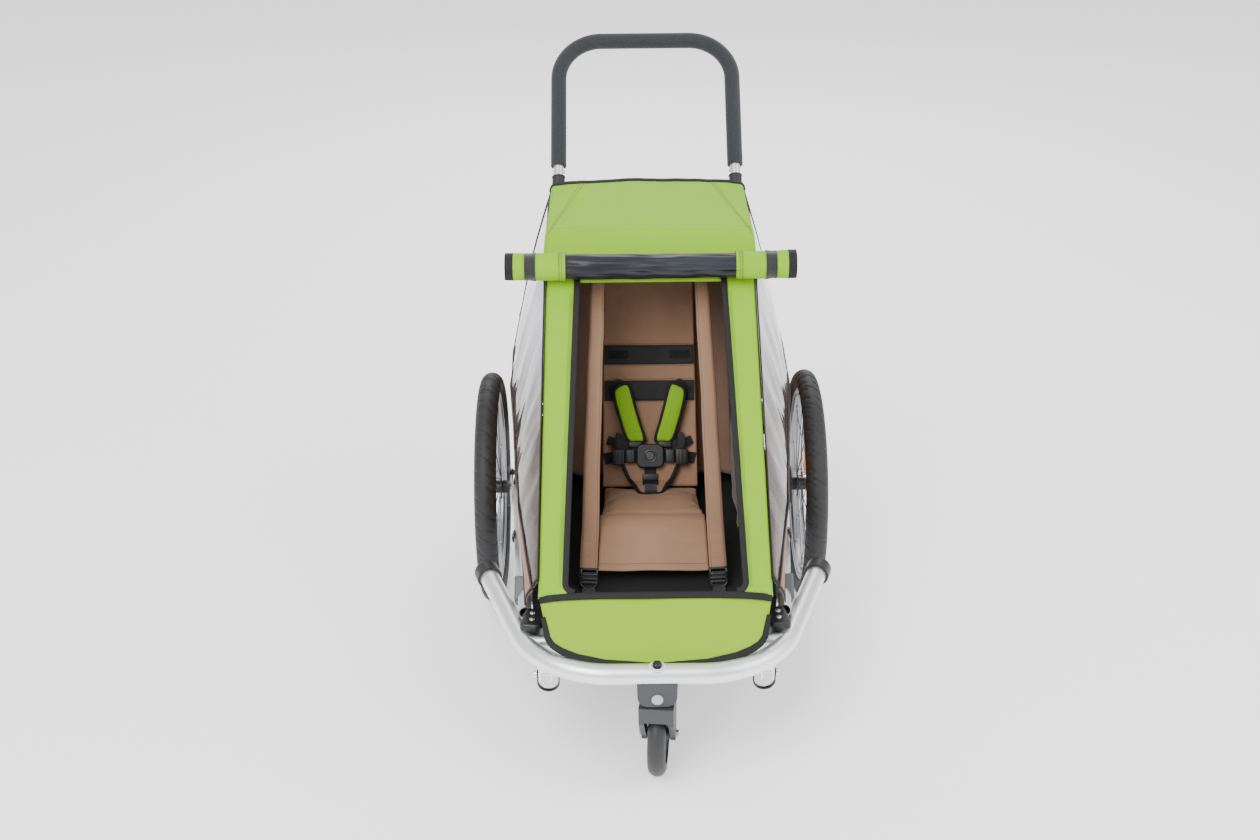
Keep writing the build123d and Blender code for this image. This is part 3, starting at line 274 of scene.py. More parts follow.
lime = linear(128, 178, 0)
taupe = linear(150, 116, 92)
black = linear(20, 20, 21)
mats = {
    "lime": fabric("limeCoatedCloth", lime, "coated", 0.66, 0.02, 0.1),
    "limePanel": fabric("limePanelCloth", linear(138, 176, 4), "coated", 0.64, 0.02, 0.1),
    "taupe": fabric("taupeCanvas", taupe, "canvas", 0.78, 0.06, 0.14),
    # a darker copy of the taupe for the linings inside the cabin: painted shade
    "taupePaintedShade": fabric("taupeLiningPaintedShade", linear(122, 96, 80), "canvas", 0.82, 0.2, 0.16),
    "blackCloth": fabric("blackCloth", linear(22, 22, 24), "canvas", 0.8, 0.2, 0.3),
    "binding": fabric("blackBinding", black, "webbing", 0.7, 0.04, 0.25),
    "webbing": fabric("blackWebbing", linear(26, 26, 28), "webbing", 0.58, 0.3, 0.3, 0.8),
    "floorCloth": fabric("floorCloth", linear(14, 14, 16), "coated", 0.7, 0.1, 0.35),
    "thread": plastic("limeThread", linear(120, 150, 50), 0.7, 0.1),
    "threadTaupe": plastic("taupeThread", linear(112, 86, 70), 0.7, 0.1),
    "threadDark": plastic("darkThread", linear(70, 74, 60), 0.7, 0.1),
    "film": windowFilm("windowFilm"),
    "vinyl": vinyl("rolledVinyl"),
    "silver": metal("satinSilver", (0.95, 0.955, 0.965), 0.42, (1, 1, 1), 0.05),
    "frame": metal("anodisedFrame", (0.76, 0.77, 0.78), 0.36, (1, 6, 1), 0.08),
    "chrome": metal("hitchChrome", (0.9, 0.9, 0.91), 0.1, (1, 1, 1), 0.03),
    "steel": metal("axleSteel", (0.62, 0.62, 0.63), 0.28, (1, 8, 8), 0.1),
    "rim": metal("rimAlloy", (0.44, 0.45, 0.47), 0.32, (1, 1, 1), 0.08),
    "spoke": metal("spokeSteel", (0.2, 0.2, 0.21), 0.3, (1, 1, 1), 0.02),
    "blackPlastic": plastic("blackPlastic", linear(22, 22, 24), 0.46, 0.3, 0.05),
    "hub": plastic("hubBlack", linear(30, 30, 32), 0.34, 0.1, 0.3),
    "housing": plastic("housingGrey", linear(52, 54, 57), 0.5, 0.35, 0.05),
    "greyBlock": plastic("blockGrey", linear(84, 86, 89), 0.46, 0.3, 0.1),
    "button": plastic("buttonGrey", linear(168, 170, 172), 0.36, 0.12, 0.2),
    "whiteRing": plastic("ringWhite", linear(226, 227, 229), 0.35, 0.1, 0.3),
    "tyre": rubber("tyreRubber"),
    "caster": rubber("casterRubber", (0.02, 0.02, 0.021), 0.5, 0.35),
    "strap": rubber("strapRubber", (0.014, 0.014, 0.015), 0.5, 0.3),
    "foam": foamRubber("gripFoam"),
    "orange": reflectorLens("reflectorOrange"),
}

nodeFinish = {
    "silver": ["bumper_tube"],
    "frame": ["side_rail_left", "side_rail_right", "rear_cross_tube", "front_cross_tube", "axle_tube",
              "upper_tube_left", "upper_tube_right", "top_bars", "stays_lower", "stays_upper"],
    "blackPlastic": ["bumper_caps", "corner_joints", "axle_clamps", "handle_sockets", "flag_socket",
                     "panel_knob", "brake_pedal", "harness_buckle"],
    "hub": ["hub_left", "hub_right"],
    "greyBlock": ["rail_blocks"],
    "housing": ["caster_housing", "caster_fork", "caster_rim"],
    "button": ["caster_button", "hub_button_left", "hub_button_right"],
    "chrome": ["tow_brackets", "hitch_pin_left", "hitch_pin_right", "snap_button_left", "snap_button_right"],
    "strap": ["pin_straps"],
    "steel": ["stub_axle_left", "stub_axle_right", "caster_axle"],
    "rim": ["rim_left", "rim_right"],
    "spoke": ["spokes_left", "spokes_right"],
    "orange": ["reflector_left", "reflector_right"],
    "foam": ["handle_foam"],
    "caster": ["caster_tyre"],
    "floorCloth": ["floor_pan"],
    "blackPlastic2": ["buckle_button"],
    "whiteTube": ["handle_tube"],
}
mats["blackPlastic2"] = plastic("buckleButton", linear(52, 53, 56), 0.3, 0.1, 0.4)
mats["whiteTube"] = metal("handleSilver", (0.9, 0.9, 0.91), 0.3, (1, 1, 1), 0.04)
for finish, names in nodeFinish.items():
    for name in names:
        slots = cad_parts[name].data.materials
        slots.clear()
        slots.append(mats[finish])
print("materials made:", len(mats))


# ---- mesh makers

def newPiece(name, vertices, faces, material, uvs=None, flat=False):
    mesh = bpy.data.meshes.new(name)
    mesh.from_pydata([tuple(v) for v in vertices], [], faces)
    if uvs:
        layer = mesh.uv_layers.new(name="UVMap")
        for loop in mesh.loops:
            layer.data[loop.index].uv = uvs[loop.vertex_index]
    mesh.materials.append(mats[material] if isinstance(material, str) else material)
    mesh.polygons.foreach_set("use_smooth", [not flat] * len(mesh.polygons))
    mesh.update()
    piece = bpy.data.objects.new(name, mesh)
    bpy.context.scene.collection.objects.link(piece)
    return piece


def settle(piece):
    # the modifiers' result becomes the piece's own mesh
    graph = bpy.context.evaluated_depsgraph_get()
    mesh = bpy.data.meshes.new_from_object(piece.evaluated_get(graph))
    piece.modifiers.clear()
    piece.data = mesh
    return piece


def outward(piece):
    bm = bmesh.new()
    bm.from_mesh(piece.data)
    bmesh.ops.remove_doubles(bm, verts=bm.verts, dist=1e-6)
    bmesh.ops.recalc_face_normals(bm, faces=bm.faces)
    bm.to_mesh(piece.data)
    bm.free()
    return piece


def sheetOf(name, surface, columns, rows, size, material, thick=0.0016, closed=False, levels=0):
    # a cloth panel: surface(u, v) gives a point, size is its width and length for the weave
    vertices, faces, uvs = [], [], []
    for j in range(rows + 1):
        for i in range(columns + 1):
            vertices.append(surface(i / columns, j / rows))
            uvs.append((i / columns * size[0], j / rows * size[1]))
    wide = columns + 1
    for j in range(rows):
        for i in range(columns):
            a = j * wide + i
            faces.append((a, a + 1, a + wide + 1, a + wide))
    piece = newPiece(name, vertices, faces, material, uvs)
    if closed:
        outward(piece)
    if levels:
        sub = piece.modifiers.new("subdivide", "SUBSURF")
        sub.levels = sub.render_levels = levels
    if thick:
        solid = piece.modifiers.new("thickness", "SOLIDIFY")
        solid.thickness = thick
        solid.offset = 0
    settle(piece)
    return outward(piece) if thick else piece


def ribbon(name, path, normals, width, thick, material, rounding=0.35, sides=10):
    # webbing, tape or binding: a rounded flat section carried along a path
    section = []
    for k in range(sides):
        angle = 2 * math.pi * (k + 0.5) / sides
        c, s = math.cos(angle), math.sin(angle)
        section.append((math.copysign(abs(c) ** rounding, c) / 2, math.copysign(abs(s) ** rounding, s) / 2))
    vertices, faces, uvs, run = [], [], [], 0.0
    count = len(path)
    for i, place in enumerate(path):
        ahead = (path[min(i + 1, count - 1)] - path[max(i - 1, 0)]).normalized()
        normal = (normals[i] if isinstance(normals, list) else normals).normalized()
        side = ahead.cross(normal).normalized()
        normal = side.cross(ahead).normalized()
        w = width(i / (count - 1)) if callable(width) else width
        if i:
            run += (place - path[i - 1]).length
        for k, (a, b) in enumerate(section):
            vertices.append(place + side * a * w + normal * b * thick)
            uvs.append((a * w, run))
    for i in range(count - 1):
        for k in range(sides):
            a, b = i * sides + k, i * sides + (k + 1) % sides
            faces.append((a, b, b + sides, a + sides))
    faces.append(tuple(range(sides - 1, -1, -1)))
    faces.append(tuple((count - 1) * sides + k for k in range(sides)))
    return outward(newPiece(name, vertices, faces, material, uvs))


def joined(name, pieces):
    bm = bmesh.new()
    materials = []
    for piece in pieces:
        offset = len(bm.faces)
        bm.from_mesh(piece.data)
        bm.faces.ensure_lookup_table()
        for slot in piece.data.materials:
            if slot not in materials:
                materials.append(slot)
        places = [materials.index(slot) for slot in piece.data.materials]
        for face in bm.faces[offset:]:
            face.material_index = places[face.material_index]
    mesh = bpy.data.meshes.new(name)
    bm.to_mesh(mesh)
    bm.free()
    for slot in materials:
        mesh.materials.append(slot)
    result = bpy.data.objects.new(name, mesh)
    bpy.context.scene.collection.objects.link(result)
    for piece in pieces:
        bpy.data.objects.remove(piece)
    return result


def block(name, low, high, material, bevel=0.002, segments=3):
    # a moulded block between two corners, with rounded edges
    a, b = Vector(low), Vector(high)
    corners = [Vector((x, y, z)) for z in (a.z, b.z) for y in (a.y, b.y) for x in (a.x, b.x)]
    faces = [(0, 2, 3, 1), (4, 5, 7, 6), (0, 1, 5, 4), (2, 6, 7, 3), (0, 4, 6, 2), (1, 3, 7, 5)]
    piece = newPiece(name, corners, faces, material)
    edge = piece.modifiers.new("edges", "BEVEL")
    edge.width, edge.segments = bevel, segments
    return settle(piece)


def placed(piece, origin, xAxis, yAxis, zAxis):
    # moves a piece made about the origin into a frame of its own
    for vertex in piece.data.vertices:
        p = vertex.co.copy()
        vertex.co = origin + xAxis * p.x + yAxis * p.y + zAxis * p.z
    return piece


# ---- rows of stitches along a seam

def socketId(tree, name):
    return next(item.identifier for item in tree.interface.items_tree if item.name == name)


def stitchTree():
    tree = bpy.data.node_groups.new("stitchRow", "GeometryNodeTree")
    face = tree.interface
    face.new_socket("Geometry", in_out="INPUT", socket_type="NodeSocketGeometry")
    for name in ("Pitch", "Length", "Radius"):
        face.new_socket(name, in_out="INPUT", socket_type="NodeSocketFloat")
    face.new_socket("Material", in_out="INPUT", socket_type="NodeSocketMaterial")
    face.new_socket("Geometry", in_out="OUTPUT", socket_type="NodeSocketGeometry")
    nodes, links = tree.nodes, tree.links
    given, result = nodes.new("NodeGroupInput"), nodes.new("NodeGroupOutput")
    spaced = nodes.new("GeometryNodeResampleCurve")
    spaced.mode = "LENGTH"
    thread = nodes.new("GeometryNodeMeshCylinder")
    thread.inputs["Vertices"].default_value = 6
    copies = nodes.new("GeometryNodeInstanceOnPoints")
    tangent = nodes.new("GeometryNodeInputTangent")
    turn = nodes.new("FunctionNodeAlignRotationToVector")
    turn.axis = "Z"
    real = nodes.new("GeometryNodeRealizeInstances")
    finish = nodes.new("GeometryNodeSetMaterial")
    for a, b in (
        (given.outputs["Geometry"], spaced.inputs["Curve"]),
        (given.outputs["Pitch"], spaced.inputs["Length"]),
        (given.outputs["Length"], thread.inputs["Depth"]),
        (given.outputs["Radius"], thread.inputs["Radius"]),
        (spaced.outputs["Curve"], copies.inputs["Points"]),
        (thread.outputs["Mesh"], copies.inputs["Instance"]),
        (tangent.outputs["Tangent"], turn.inputs["Vector"]),
        (turn.outputs["Rotation"], copies.inputs["Rotation"]),
        (copies.outputs["Instances"], real.inputs["Geometry"]),
        (real.outputs["Geometry"], finish.inputs["Geometry"]),
        (given.outputs["Material"], finish.inputs["Material"]),
        (finish.outputs["Geometry"], result.inputs["Geometry"]),
    ):
        links.new(a, b)
    return tree


stitch = {"tree": stitchTree(), "pitch": 0.0042, "length": 0.0028, "radius": 0.0005}


def stitches(name, rows, material="thread"):
    # rows of points, each a seam; the result is one mesh of thread
    curve = bpy.data.curves.new(name, "CURVE")
    curve.dimensions = "3D"
    for row in rows:
        spline = curve.splines.new("POLY")
        spline.points.add(len(row) - 1)
        for point, place in zip(spline.points, row):
            point.co = (*place, 1)
    seam = bpy.data.objects.new(name + "Seam", curve)
    bpy.context.scene.collection.objects.link(seam)
    made = seam.modifiers.new("stitches", "NODES")
    made.node_group = stitch["tree"]
    for key in ("Pitch", "Length", "Radius"):
        made[socketId(stitch["tree"], key)] = stitch[key.lower()]
    made[socketId(stitch["tree"], "Material")] = mats[material]
    graph = bpy.context.evaluated_depsgraph_get()
    mesh = bpy.data.meshes.new_from_object(seam.evaluated_get(graph))
    bpy.data.objects.remove(seam)
    piece = bpy.data.objects.new(name, mesh)
    bpy.context.scene.collection.objects.link(piece)
    return piece


# ---- the cabin's shape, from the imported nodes

surroundBox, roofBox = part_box("front_surround"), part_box("roof_cover")
cloth = 0.003
diagonal = math.sqrt(0.5)
slopeDir, slopeOut = Vector((0, diagonal, diagonal)), Vector((0, -diagonal, diagonal))
slopeFoot = Vector((0, surroundBox[0][1] - 0.0014, surroundBox[0][2] + cloth * diagonal - 0.0014))
footHalf = surroundBox[1][0]
cabin = {"headHalf": 0.203, "headRun": 0.640, "openFootHalf": 0.162, "openHeadHalf": 0.139,
         "openFoot": 0.012, "openHead": 0.624, "creaseRun": 0.7227, "roofFront": 0.632,
         "roofFrontHalf": 0.210, "roofHalf": 0.2005, "crown": 0.009, "binding": 0.011}


def onSlope(x, run, lift=0.0):
    return slopeFoot + Vector((x, 0, 0)) + slopeDir * run + slopeOut * lift


def outerHalf(run):
    return mix(footHalf, cabin["headHalf"], run / cabin["headRun"])


def openHalf(run):
    t = (run - cabin["openFoot"]) / (cabin["openHead"] - cabin["openFoot"])
    return mix(cabin["openFootHalf"], cabin["openHeadHalf"], t)


crease = onSlope(0, cabin["creaseRun"])
roofRear = Vector((0, roofBox[1][1], roofBox[1][2]))
roofDir = (roofRear - crease).normalized()
roofLength = (roofRear - crease).length


def roofLine(run):
    # the roof cover's middle line: up the slope, round the crease and back along the roof
    bend = 0.03
    beyond = run - cabin["creaseRun"]
    if beyond < -bend:
        return onSlope(0, run)
    if beyond > bend:
        return crease + roofDir * beyond
    t = (beyond + bend) / (2 * bend)
    a, c = crease - slopeDir * bend, crease + roofDir * bend
    return a * (1 - t) ** 2 + crease * 2 * t * (1 - t) + c * t * t


def wrinkle(place, size, depth, seed=0.0):
    return noise.noise(place / size + Vector((seed, seed * 0.7, 3.1))) * depth


# ---- roof cover

roof = {"columns": 72, "rows": 56, "skirt": 0.017, "puff": 0.0022, "trimWidth": 0.011}


def roofSurface(u, v):
    run = mix(cabin["roofFront"], cabin["creaseRun"] + roofLength, v)
    middle = roofLine(run)
    a = 2 * u - 1
    reach = abs(a)
    along = (run - cabin["roofFront"]) / (cabin["creaseRun"] + roofLength - cabin["roofFront"])
    half = mix(cabin["roofFrontHalf"], cabin["roofHalf"], along)
    if reach < 0.9:
        x, drop = half * 0.965 * reach / 0.9, 0.0
    else:
        turn = (reach - 0.9) / 0.1 * math.pi / 2
        x, drop = half * (0.965 + 0.035 * math.sin(turn)), roof["skirt"] * (1 - math.cos(turn))
    back = smooth((run - cabin["creaseRun"] + 0.05) / 0.12)
    crown = cabin["crown"] * (1 - (x / half) ** 2) * mix(0.25, 1.0, back)
    place = middle + Vector((math.copysign(x, a), 0, 0))
    up = slopeOut.lerp(Vector((0, -roofDir.z, roofDir.y)), smooth((run - cabin["creaseRun"] + 0.03) / 0.06))
    place += up * (crown - drop)
    place += up * (wrinkle(place, 0.06, roof["puff"]) + wrinkle(place, 0.022, 0.0007, 5.0))
    # a soft fold across, just above the crease
    place += up * 0.0028 * math.exp(-((run - cabin["creaseRun"] - 0.022) / 0.007) ** 2) * (1 - reach ** 6)
    return place


roofCover = sheetOf("roofCover", roofSurface, roof["columns"], roof["rows"], (0.42, 0.37), "lime", 0.0016)


def roofAt(x, run, lift=0.0015):
    # a point on the cover at a width and a run, a little above it
    along = (run - cabin["roofFront"]) / (cabin["creaseRun"] + roofLength - cabin["roofFront"])
    half = mix(cabin["roofFrontHalf"], cabin["roofHalf"], along)
    place = roofSurface((x / (half * 0.965) * 0.9 + 1) / 2, along)
    return place + Vector((0, 0, lift))


rearRun = cabin["creaseRun"] + roofLength
seamRows = []
for side in (-1, 1):
    for gap in (0.0, 0.007):
        start = Vector((side * (0.132 + gap), rearRun - 0.006))
        end = Vector((side * (0.199 + gap * 0.4), cabin["creaseRun"] + 0.012))
        row = [start.lerp(end, k / 24) for k in range(25)]
        seamRows.append([roofAt(p.x, p.y, 0.0014) for p in row])
seamRows.append([roofAt(x / 100 * 0.19, cabin["creaseRun"] + 0.03, 0.0012) for x in range(-100, 101, 4)])
roofStitches = stitches("roofStitches", seamRows)
trimPath = [roofSurface(k / 72, 1.0) + Vector((0, 0, 0.001)) for k in range(73)]
roofTrim = ribbon("roofTrim", trimPath, Vector((0, -0.25, 1)), roof["trimWidth"], 0.0045, "binding")

# ---- front surround: two long strips, a head and a foot band, with black binding round the opening

surround = {"rows": 96, "columns": 14, "turn": 0.019, "puff": 0.0016}


def stripSurface(side, u, v):
    run = mix(0.004, cabin["headRun"] + 0.03, v)
    inner, outer = openHalf(min(run, cabin["openHead"])), outerHalf(run)
    if u < 0.8:
        x, drop = mix(inner, outer - 0.008, u / 0.8), 0.0
    else:
        turn = (u - 0.8) / 0.2 * math.pi / 2
        x, drop = outer - 0.008 + 0.008 * math.sin(turn), surround["turn"] * (1 - math.cos(turn))
    puff = surround["puff"] * math.sin(math.pi * min(1, u / 0.8)) + 0.001
    place = onSlope(side * x, run, puff - drop)
    return place + slopeOut * (wrinkle(place, 0.05, 0.0016, 2.0) + wrinkle(place, 0.02, 0.0006, 7.0))


def headSurface(u, v):
    run = mix(cabin["openHead"], cabin["headRun"] + 0.03, v)
    return onSlope(mix(-1, 1, u) * openHalf(cabin["openHead"]), run, 0.001)


strips = []
for side, name in ((-1, "surroundRight"), (1, "surroundLeft")):
    surface = lambda u, v, s=side: stripSurface(s, u if s > 0 else u, v)
    strips.append(sheetOf(name, surface, surround["columns"], surround["rows"], (0.06, 0.66), "lime", 0.0016))
strips.append(sheetOf("surroundHead", headSurface, 30, 6, (0.28, 0.05), "lime", 0.0016))
frontSurround = joined("frontSurround", strips)

openingEdge = []
corner = 0.018
foot, head = cabin["openFoot"], cabin["openHead"] + 0.01
for k in range(61):
    run = mix(head, foot + corner, k / 60)
    openingEdge.append((openHalf(run), run))
for k in range(1, 7):
    angle = k / 6 * math.pi / 2
    inward, upward = corner * (1 - math.cos(angle)), corner * (1 - math.sin(angle))
    openingEdge.append((openHalf(foot) - inward, foot + upward))
binding = []
for side in (-1, 1):
    path = [onSlope(side * (x + 0.004), run, 0.0022) for x, run in openingEdge]
    binding.append(ribbon("edge", path, slopeOut, 0.0115, 0.0052, "binding"))


def footBand(a):
    # the binding along the foot, at a share a of the half width: its ends dip and turn under
    lift = 0.0032 - 0.006 * smooth((abs(a) - 0.93) / 0.07)
    return onSlope(a * (footHalf - 0.004), 0.005 - 0.007 * abs(a) ** 5, lift)


footPath = [footBand(mix(-1, 1, k / 60)) for k in range(61)]
binding.append(ribbon("edge", footPath, slopeOut, 0.0125, 0.0056, "binding"))
openingBinding = joined("openingBinding", binding)
stripRows = []
for side in (-1, 1):
    for inset in (0.0125, 0.0155):
        stripRows.append([onSlope(side * (openHalf(min(r, cabin["openHead"])) + inset), r, 0.0042)
                          for r in [mix(0.02, 0.6, k / 90) for k in range(91)]])
stripStitches = stitches("stripStitches", stripRows)
print("roof and front surround made")

# ---- lower front panel, buttoned to the bumper

panel = {"footHalf": 0.196, "sideDrop": 0.078, "columns": 72, "rows": 24,
         "edge": ((0.0, 0.130), (0.48, 0.1205), (0.74, 0.108), (0.88, 0.096), (0.97, 0.084), (1.0, 0.072))}


def panelEdge(a):
    # the panel's lower edge: its drop below the foot band at a share a of the half width
    edge = panel["edge"]
    for (a0, d0), (a1, d1) in zip(edge, edge[1:]):
        if abs(a) <= a1:
            return mix(d0, d1, (abs(a) - a0) / (a1 - a0))
    return edge[-1][1]


def panelSurface(u, v):
    a = 2 * u - 1
    drop = panelEdge(a) * v
    half = mix(footHalf - 0.003, panel["footHalf"], min(1, drop / panel["sideDrop"]))
    puff = 0.006 * math.sin(math.pi * min(1, v * 1.05)) * (1 - abs(a) ** 4)
    place = onSlope(a * half, -drop, puff - 0.004 * abs(a) ** 8 + 0.0004)
    return place + slopeOut * wrinkle(place, 0.05, 0.0018, 9.0)


lowerPanel = sheetOf("lowerPanel", panelSurface, panel["columns"], panel["rows"], (0.43, 0.14), "limePanel",
                     0.0018)
borderPath = [panelSurface(0.0, mix(0.45, 0.98, k / 12)) for k in range(12)]
borderPath += [panelSurface(k / 96, 1.0) for k in range(97)]
borderPath += [panelSurface(1.0, mix(0.98, 0.45, k / 12)) for k in range(1, 13)]
borderPath = [p + slopeOut * 0.0015 for p in borderPath]
borderWidth = lambda t: 0.008 + 0.014 * (1 - abs(2 * t - 1)) ** 0.8
lowerPanelBorder = ribbon("lowerPanelBorder", borderPath, slopeOut, borderWidth, 0.004, "binding")
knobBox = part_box("panel_knob")
knobMiddle = (Vector(knobBox[0]) + Vector(knobBox[1])) / 2


def ringPiece(name, centre, axis, radius, tube, material, squashed=1.0, around=48, section=12):
    vertices, faces = [], []
    axis = axis.normalized()
    sideA = axis.orthogonal().normalized()
    sideB = axis.cross(sideA)
    for i in range(around):
        out = sideA * math.cos(2 * math.pi * i / around) + sideB * math.sin(2 * math.pi * i / around)
        for k in range(section):
            angle = 2 * math.pi * k / section
            rise = axis * tube * squashed * math.sin(angle)
            vertices.append(centre + out * (radius + tube * math.cos(angle)) + rise)
    for i in range(around):
        for k in range(section):
            a, b = i * section + k, i * section + (k + 1) % section
            c, d = (a + section) % len(vertices), (b + section) % len(vertices)
            faces.append((a, c, d, b))
    return outward(newPiece(name, vertices, faces, material))


knobFoot = Vector((knobMiddle.x, knobMiddle.y - 0.002, knobBox[0][2] + 0.0012))
knobRing = ringPiece("knobRing", knobFoot, Vector((0, 0, 1)), 0.0125, 0.0034, "whiteRing", 0.7)

# ---- rolled front cover

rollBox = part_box("cover_roll")
roll = {"radius": (rollBox[1][2] - rollBox[0][2]) / 2, "vinylHalf": 0.167, "clothHalf": 0.265,
        "strapAt": 0.222, "strapWide": 0.021, "around": 64}
rollMiddle = (Vector(rollBox[0]) + Vector(rollBox[1])) / 2
rollHalf = rollBox[1][0]


def rollPoint(x, angle, lift=0.0):
    c, s = math.cos(angle), math.sin(angle)
    ripple = 0.0008 * math.sin(angle * 2 + x * 14) + 0.0016 * noise.noise(Vector((x * 11, c * 1.6, s * 1.6)))
    fold = 0.0012 * noise.noise(Vector((x * 20 + angle * 1.5, c * 3.6 + 9, s * 3.6)))
    inVinyl = smooth((roll["vinylHalf"] + 0.004 - abs(x)) / 0.008)
    radius = roll["radius"] - 0.002 + ripple + fold * (0.6 + inVinyl) - 0.0014 * inVinyl + lift
    radius *= 1 - 0.08 * math.exp(-((abs(x) - 0.236) / 0.01) ** 2)
    flat = 1 - 0.07 * max(0, -math.sin(angle - math.pi / 4)) ** 2
    sag = -0.002 * (1 - (x / rollHalf) ** 2)
    return rollMiddle + Vector((x, -c * radius, s * radius * flat + sag))


def rollPart(name, x0, x1, material, columns, lift=0.0):
    surface = lambda u, v: rollPoint(mix(x0, x1, u), 2 * math.pi * v, lift)
    return sheetOf(name, surface, columns, roll["around"], (abs(x1 - x0), 0.176), material, 0.0)


# from the middle outwards: cloth, end binding, strap, and the vinyl's sewn edge
rollRuns = ((roll["vinylHalf"], roll["clothHalf"], "lime", 40, 0.001),
            (roll["clothHalf"], rollHalf - 0.001, "binding", 8, 0.0016),
            (roll["strapAt"], roll["strapAt"] + roll["strapWide"], "webbing", 8, 0.0028),
            (roll["vinylHalf"] - 0.003, roll["vinylHalf"] + 0.008, "lime", 5, 0.0022))
rollParts = [rollPart("part", -roll["vinylHalf"], roll["vinylHalf"], "vinyl", 110)]
for side in (-1, 1):
    for x0, x1, material, columns, lift in rollRuns:
        rollParts.append(rollPart("part", side * x0, side * x1, material, columns, lift))
for part in rollParts:
    outward(part)


def rollEnd(side):
    # the roll's end shows its turns of cloth, as a spiral ridge
    vertices, faces = [], []
    rings, around = 26, 64
    for j in range(rings + 1):
        for i in range(around):
            angle = 2 * math.pi * i / around
            share = j / rings
            edge = rollPoint(side * (rollHalf - 0.001), angle, 0.0016)
            ridge = 0.5 + 0.5 * math.sin(2 * math.pi * (share * 5.5) + angle)
            depth = 0.0032 * ridge * math.sin(math.pi * min(1, share * 1.02))
            centre = rollMiddle + Vector((side * (rollHalf - 0.001), 0, 0))
            place = centre.lerp(edge, max(share, 0.02))
            vertices.append(place - Vector((side * depth, 0, 0)))
    for j in range(rings):
        for i in range(around):
            a, b = j * around + i, j * around + (i + 1) % around
            faces.append((a, b, b + around, a + around))
    faces.append(tuple(range(around - 1, -1, -1)))
    return outward(newPiece("part", vertices, faces, "binding"))


coverRoll = joined("coverRoll", rollParts + [rollEnd(-1), rollEnd(1)])
rollRows = []
for side in (-1, 1):
    for x in (0.171, 0.164, 0.1765):
        rollRows.append([rollPoint(side * x, 2 * math.pi * k / 60, 0.0028) for k in range(61)])
rollStitches = stitches("rollStitches", rollRows, "threadDark")
print("cover roll made")

# ---- side walls: clear film above the belt, canvas below, bound edges

wall = {"stations": ((-562, 362.5, 217, 344, 228, 318, 240), (-400, 524, 213, 430, 258, 308, 253),
                     (-100, 824, 205, 540, 284, 286, 276), (60, 863, 203, 550, 286, 286, 276),
                     (345, 870, 201, 540, 280, 286, 276)),
        "columns": 70, "rows": 26, "belt": 0.45, "rearFoot": 322.0, "rearHead": 150.0,
        "footHigh": 290.0, "headHigh": 838.0}


def wallRear(z):
    # the rear edge's place behind the axle, in millimetres
    share = (z - wall["footHigh"]) / (wall["headHigh"] - wall["footHigh"])
    return mix(wall["rearFoot"], wall["rearHead"], share) + 12.0


def wallSection(y, v):
    stations = wall["stations"]
    for k in range(len(stations) - 1):
        if y <= stations[k + 1][0] or k == len(stations) - 2:
            t = min(1.0, max(0.0, (y - stations[k][0]) / (stations[k + 1][0] - stations[k][0])))
            pairs = zip(stations[k], stations[k + 1])
            _, topZ, topX, beltZ, beltX, footZ, footX = (mix(p, q, t) for p, q in pairs)
            break
    if v < wall["belt"]:
        t = v / wall["belt"]
        return mix(footX, beltX, t) + 3 * math.sin(math.pi * t), mix(footZ, beltZ, t)
    t = (v - wall["belt"]) / (1 - wall["belt"])
    bulge = 5.0 * math.sin(math.pi * t) * min(1, (topZ - beltZ) / 200)
    return mix(beltX, topX, t) + bulge, mix(beltZ, topZ, t)


def wallPoint(side, u, v, inset=0.0, low=-562.0):
    y = mix(low, 230.0, u)
    for _ in range(3):
        x, z = wallSection(y, v)
        y = mix(low, wallRear(z), u)
    place = at(side * (x - 1.5 - inset), y, z)
    if v > wall["belt"]:
        t = (v - wall["belt"]) / (1 - wall["belt"])
        slack = math.sin(math.pi * t) * math.sin(math.pi * min(1, u * 1.1))
        broad = noise.noise(Vector((y / 38, z / 210, side * 4.0))) * 0.0048
        fine = noise.noise(Vector((y / 15, z / 150, side * 7.0))) * 0.0016
        place.x += side * slack * (broad + fine)
    else:
        place.x += side * wrinkle(place, 0.07, 0.0022, 11.0)
    return place


def wallPanel(name, side, v0, v1, material, columns, rows, inset=0.0, thick=0.0012):
    surface = lambda u, v: wallPoint(side, u, mix(v0, v1, v), inset)
    return sheetOf(name, surface, columns, rows, (0.88, (v1 - v0) * 0.6), material, thick)


def wallRun(side, fixed, value, count=90, lift=0.001):
    # a row of points along the wall at one u or one v
    shares = [k / count for k in range(count + 1)]
    row = [wallPoint(side, s, value) if fixed == "v" else wallPoint(side, value, s) for s in shares]
    return [p + Vector((side * lift, 0, 0)) for p in row]


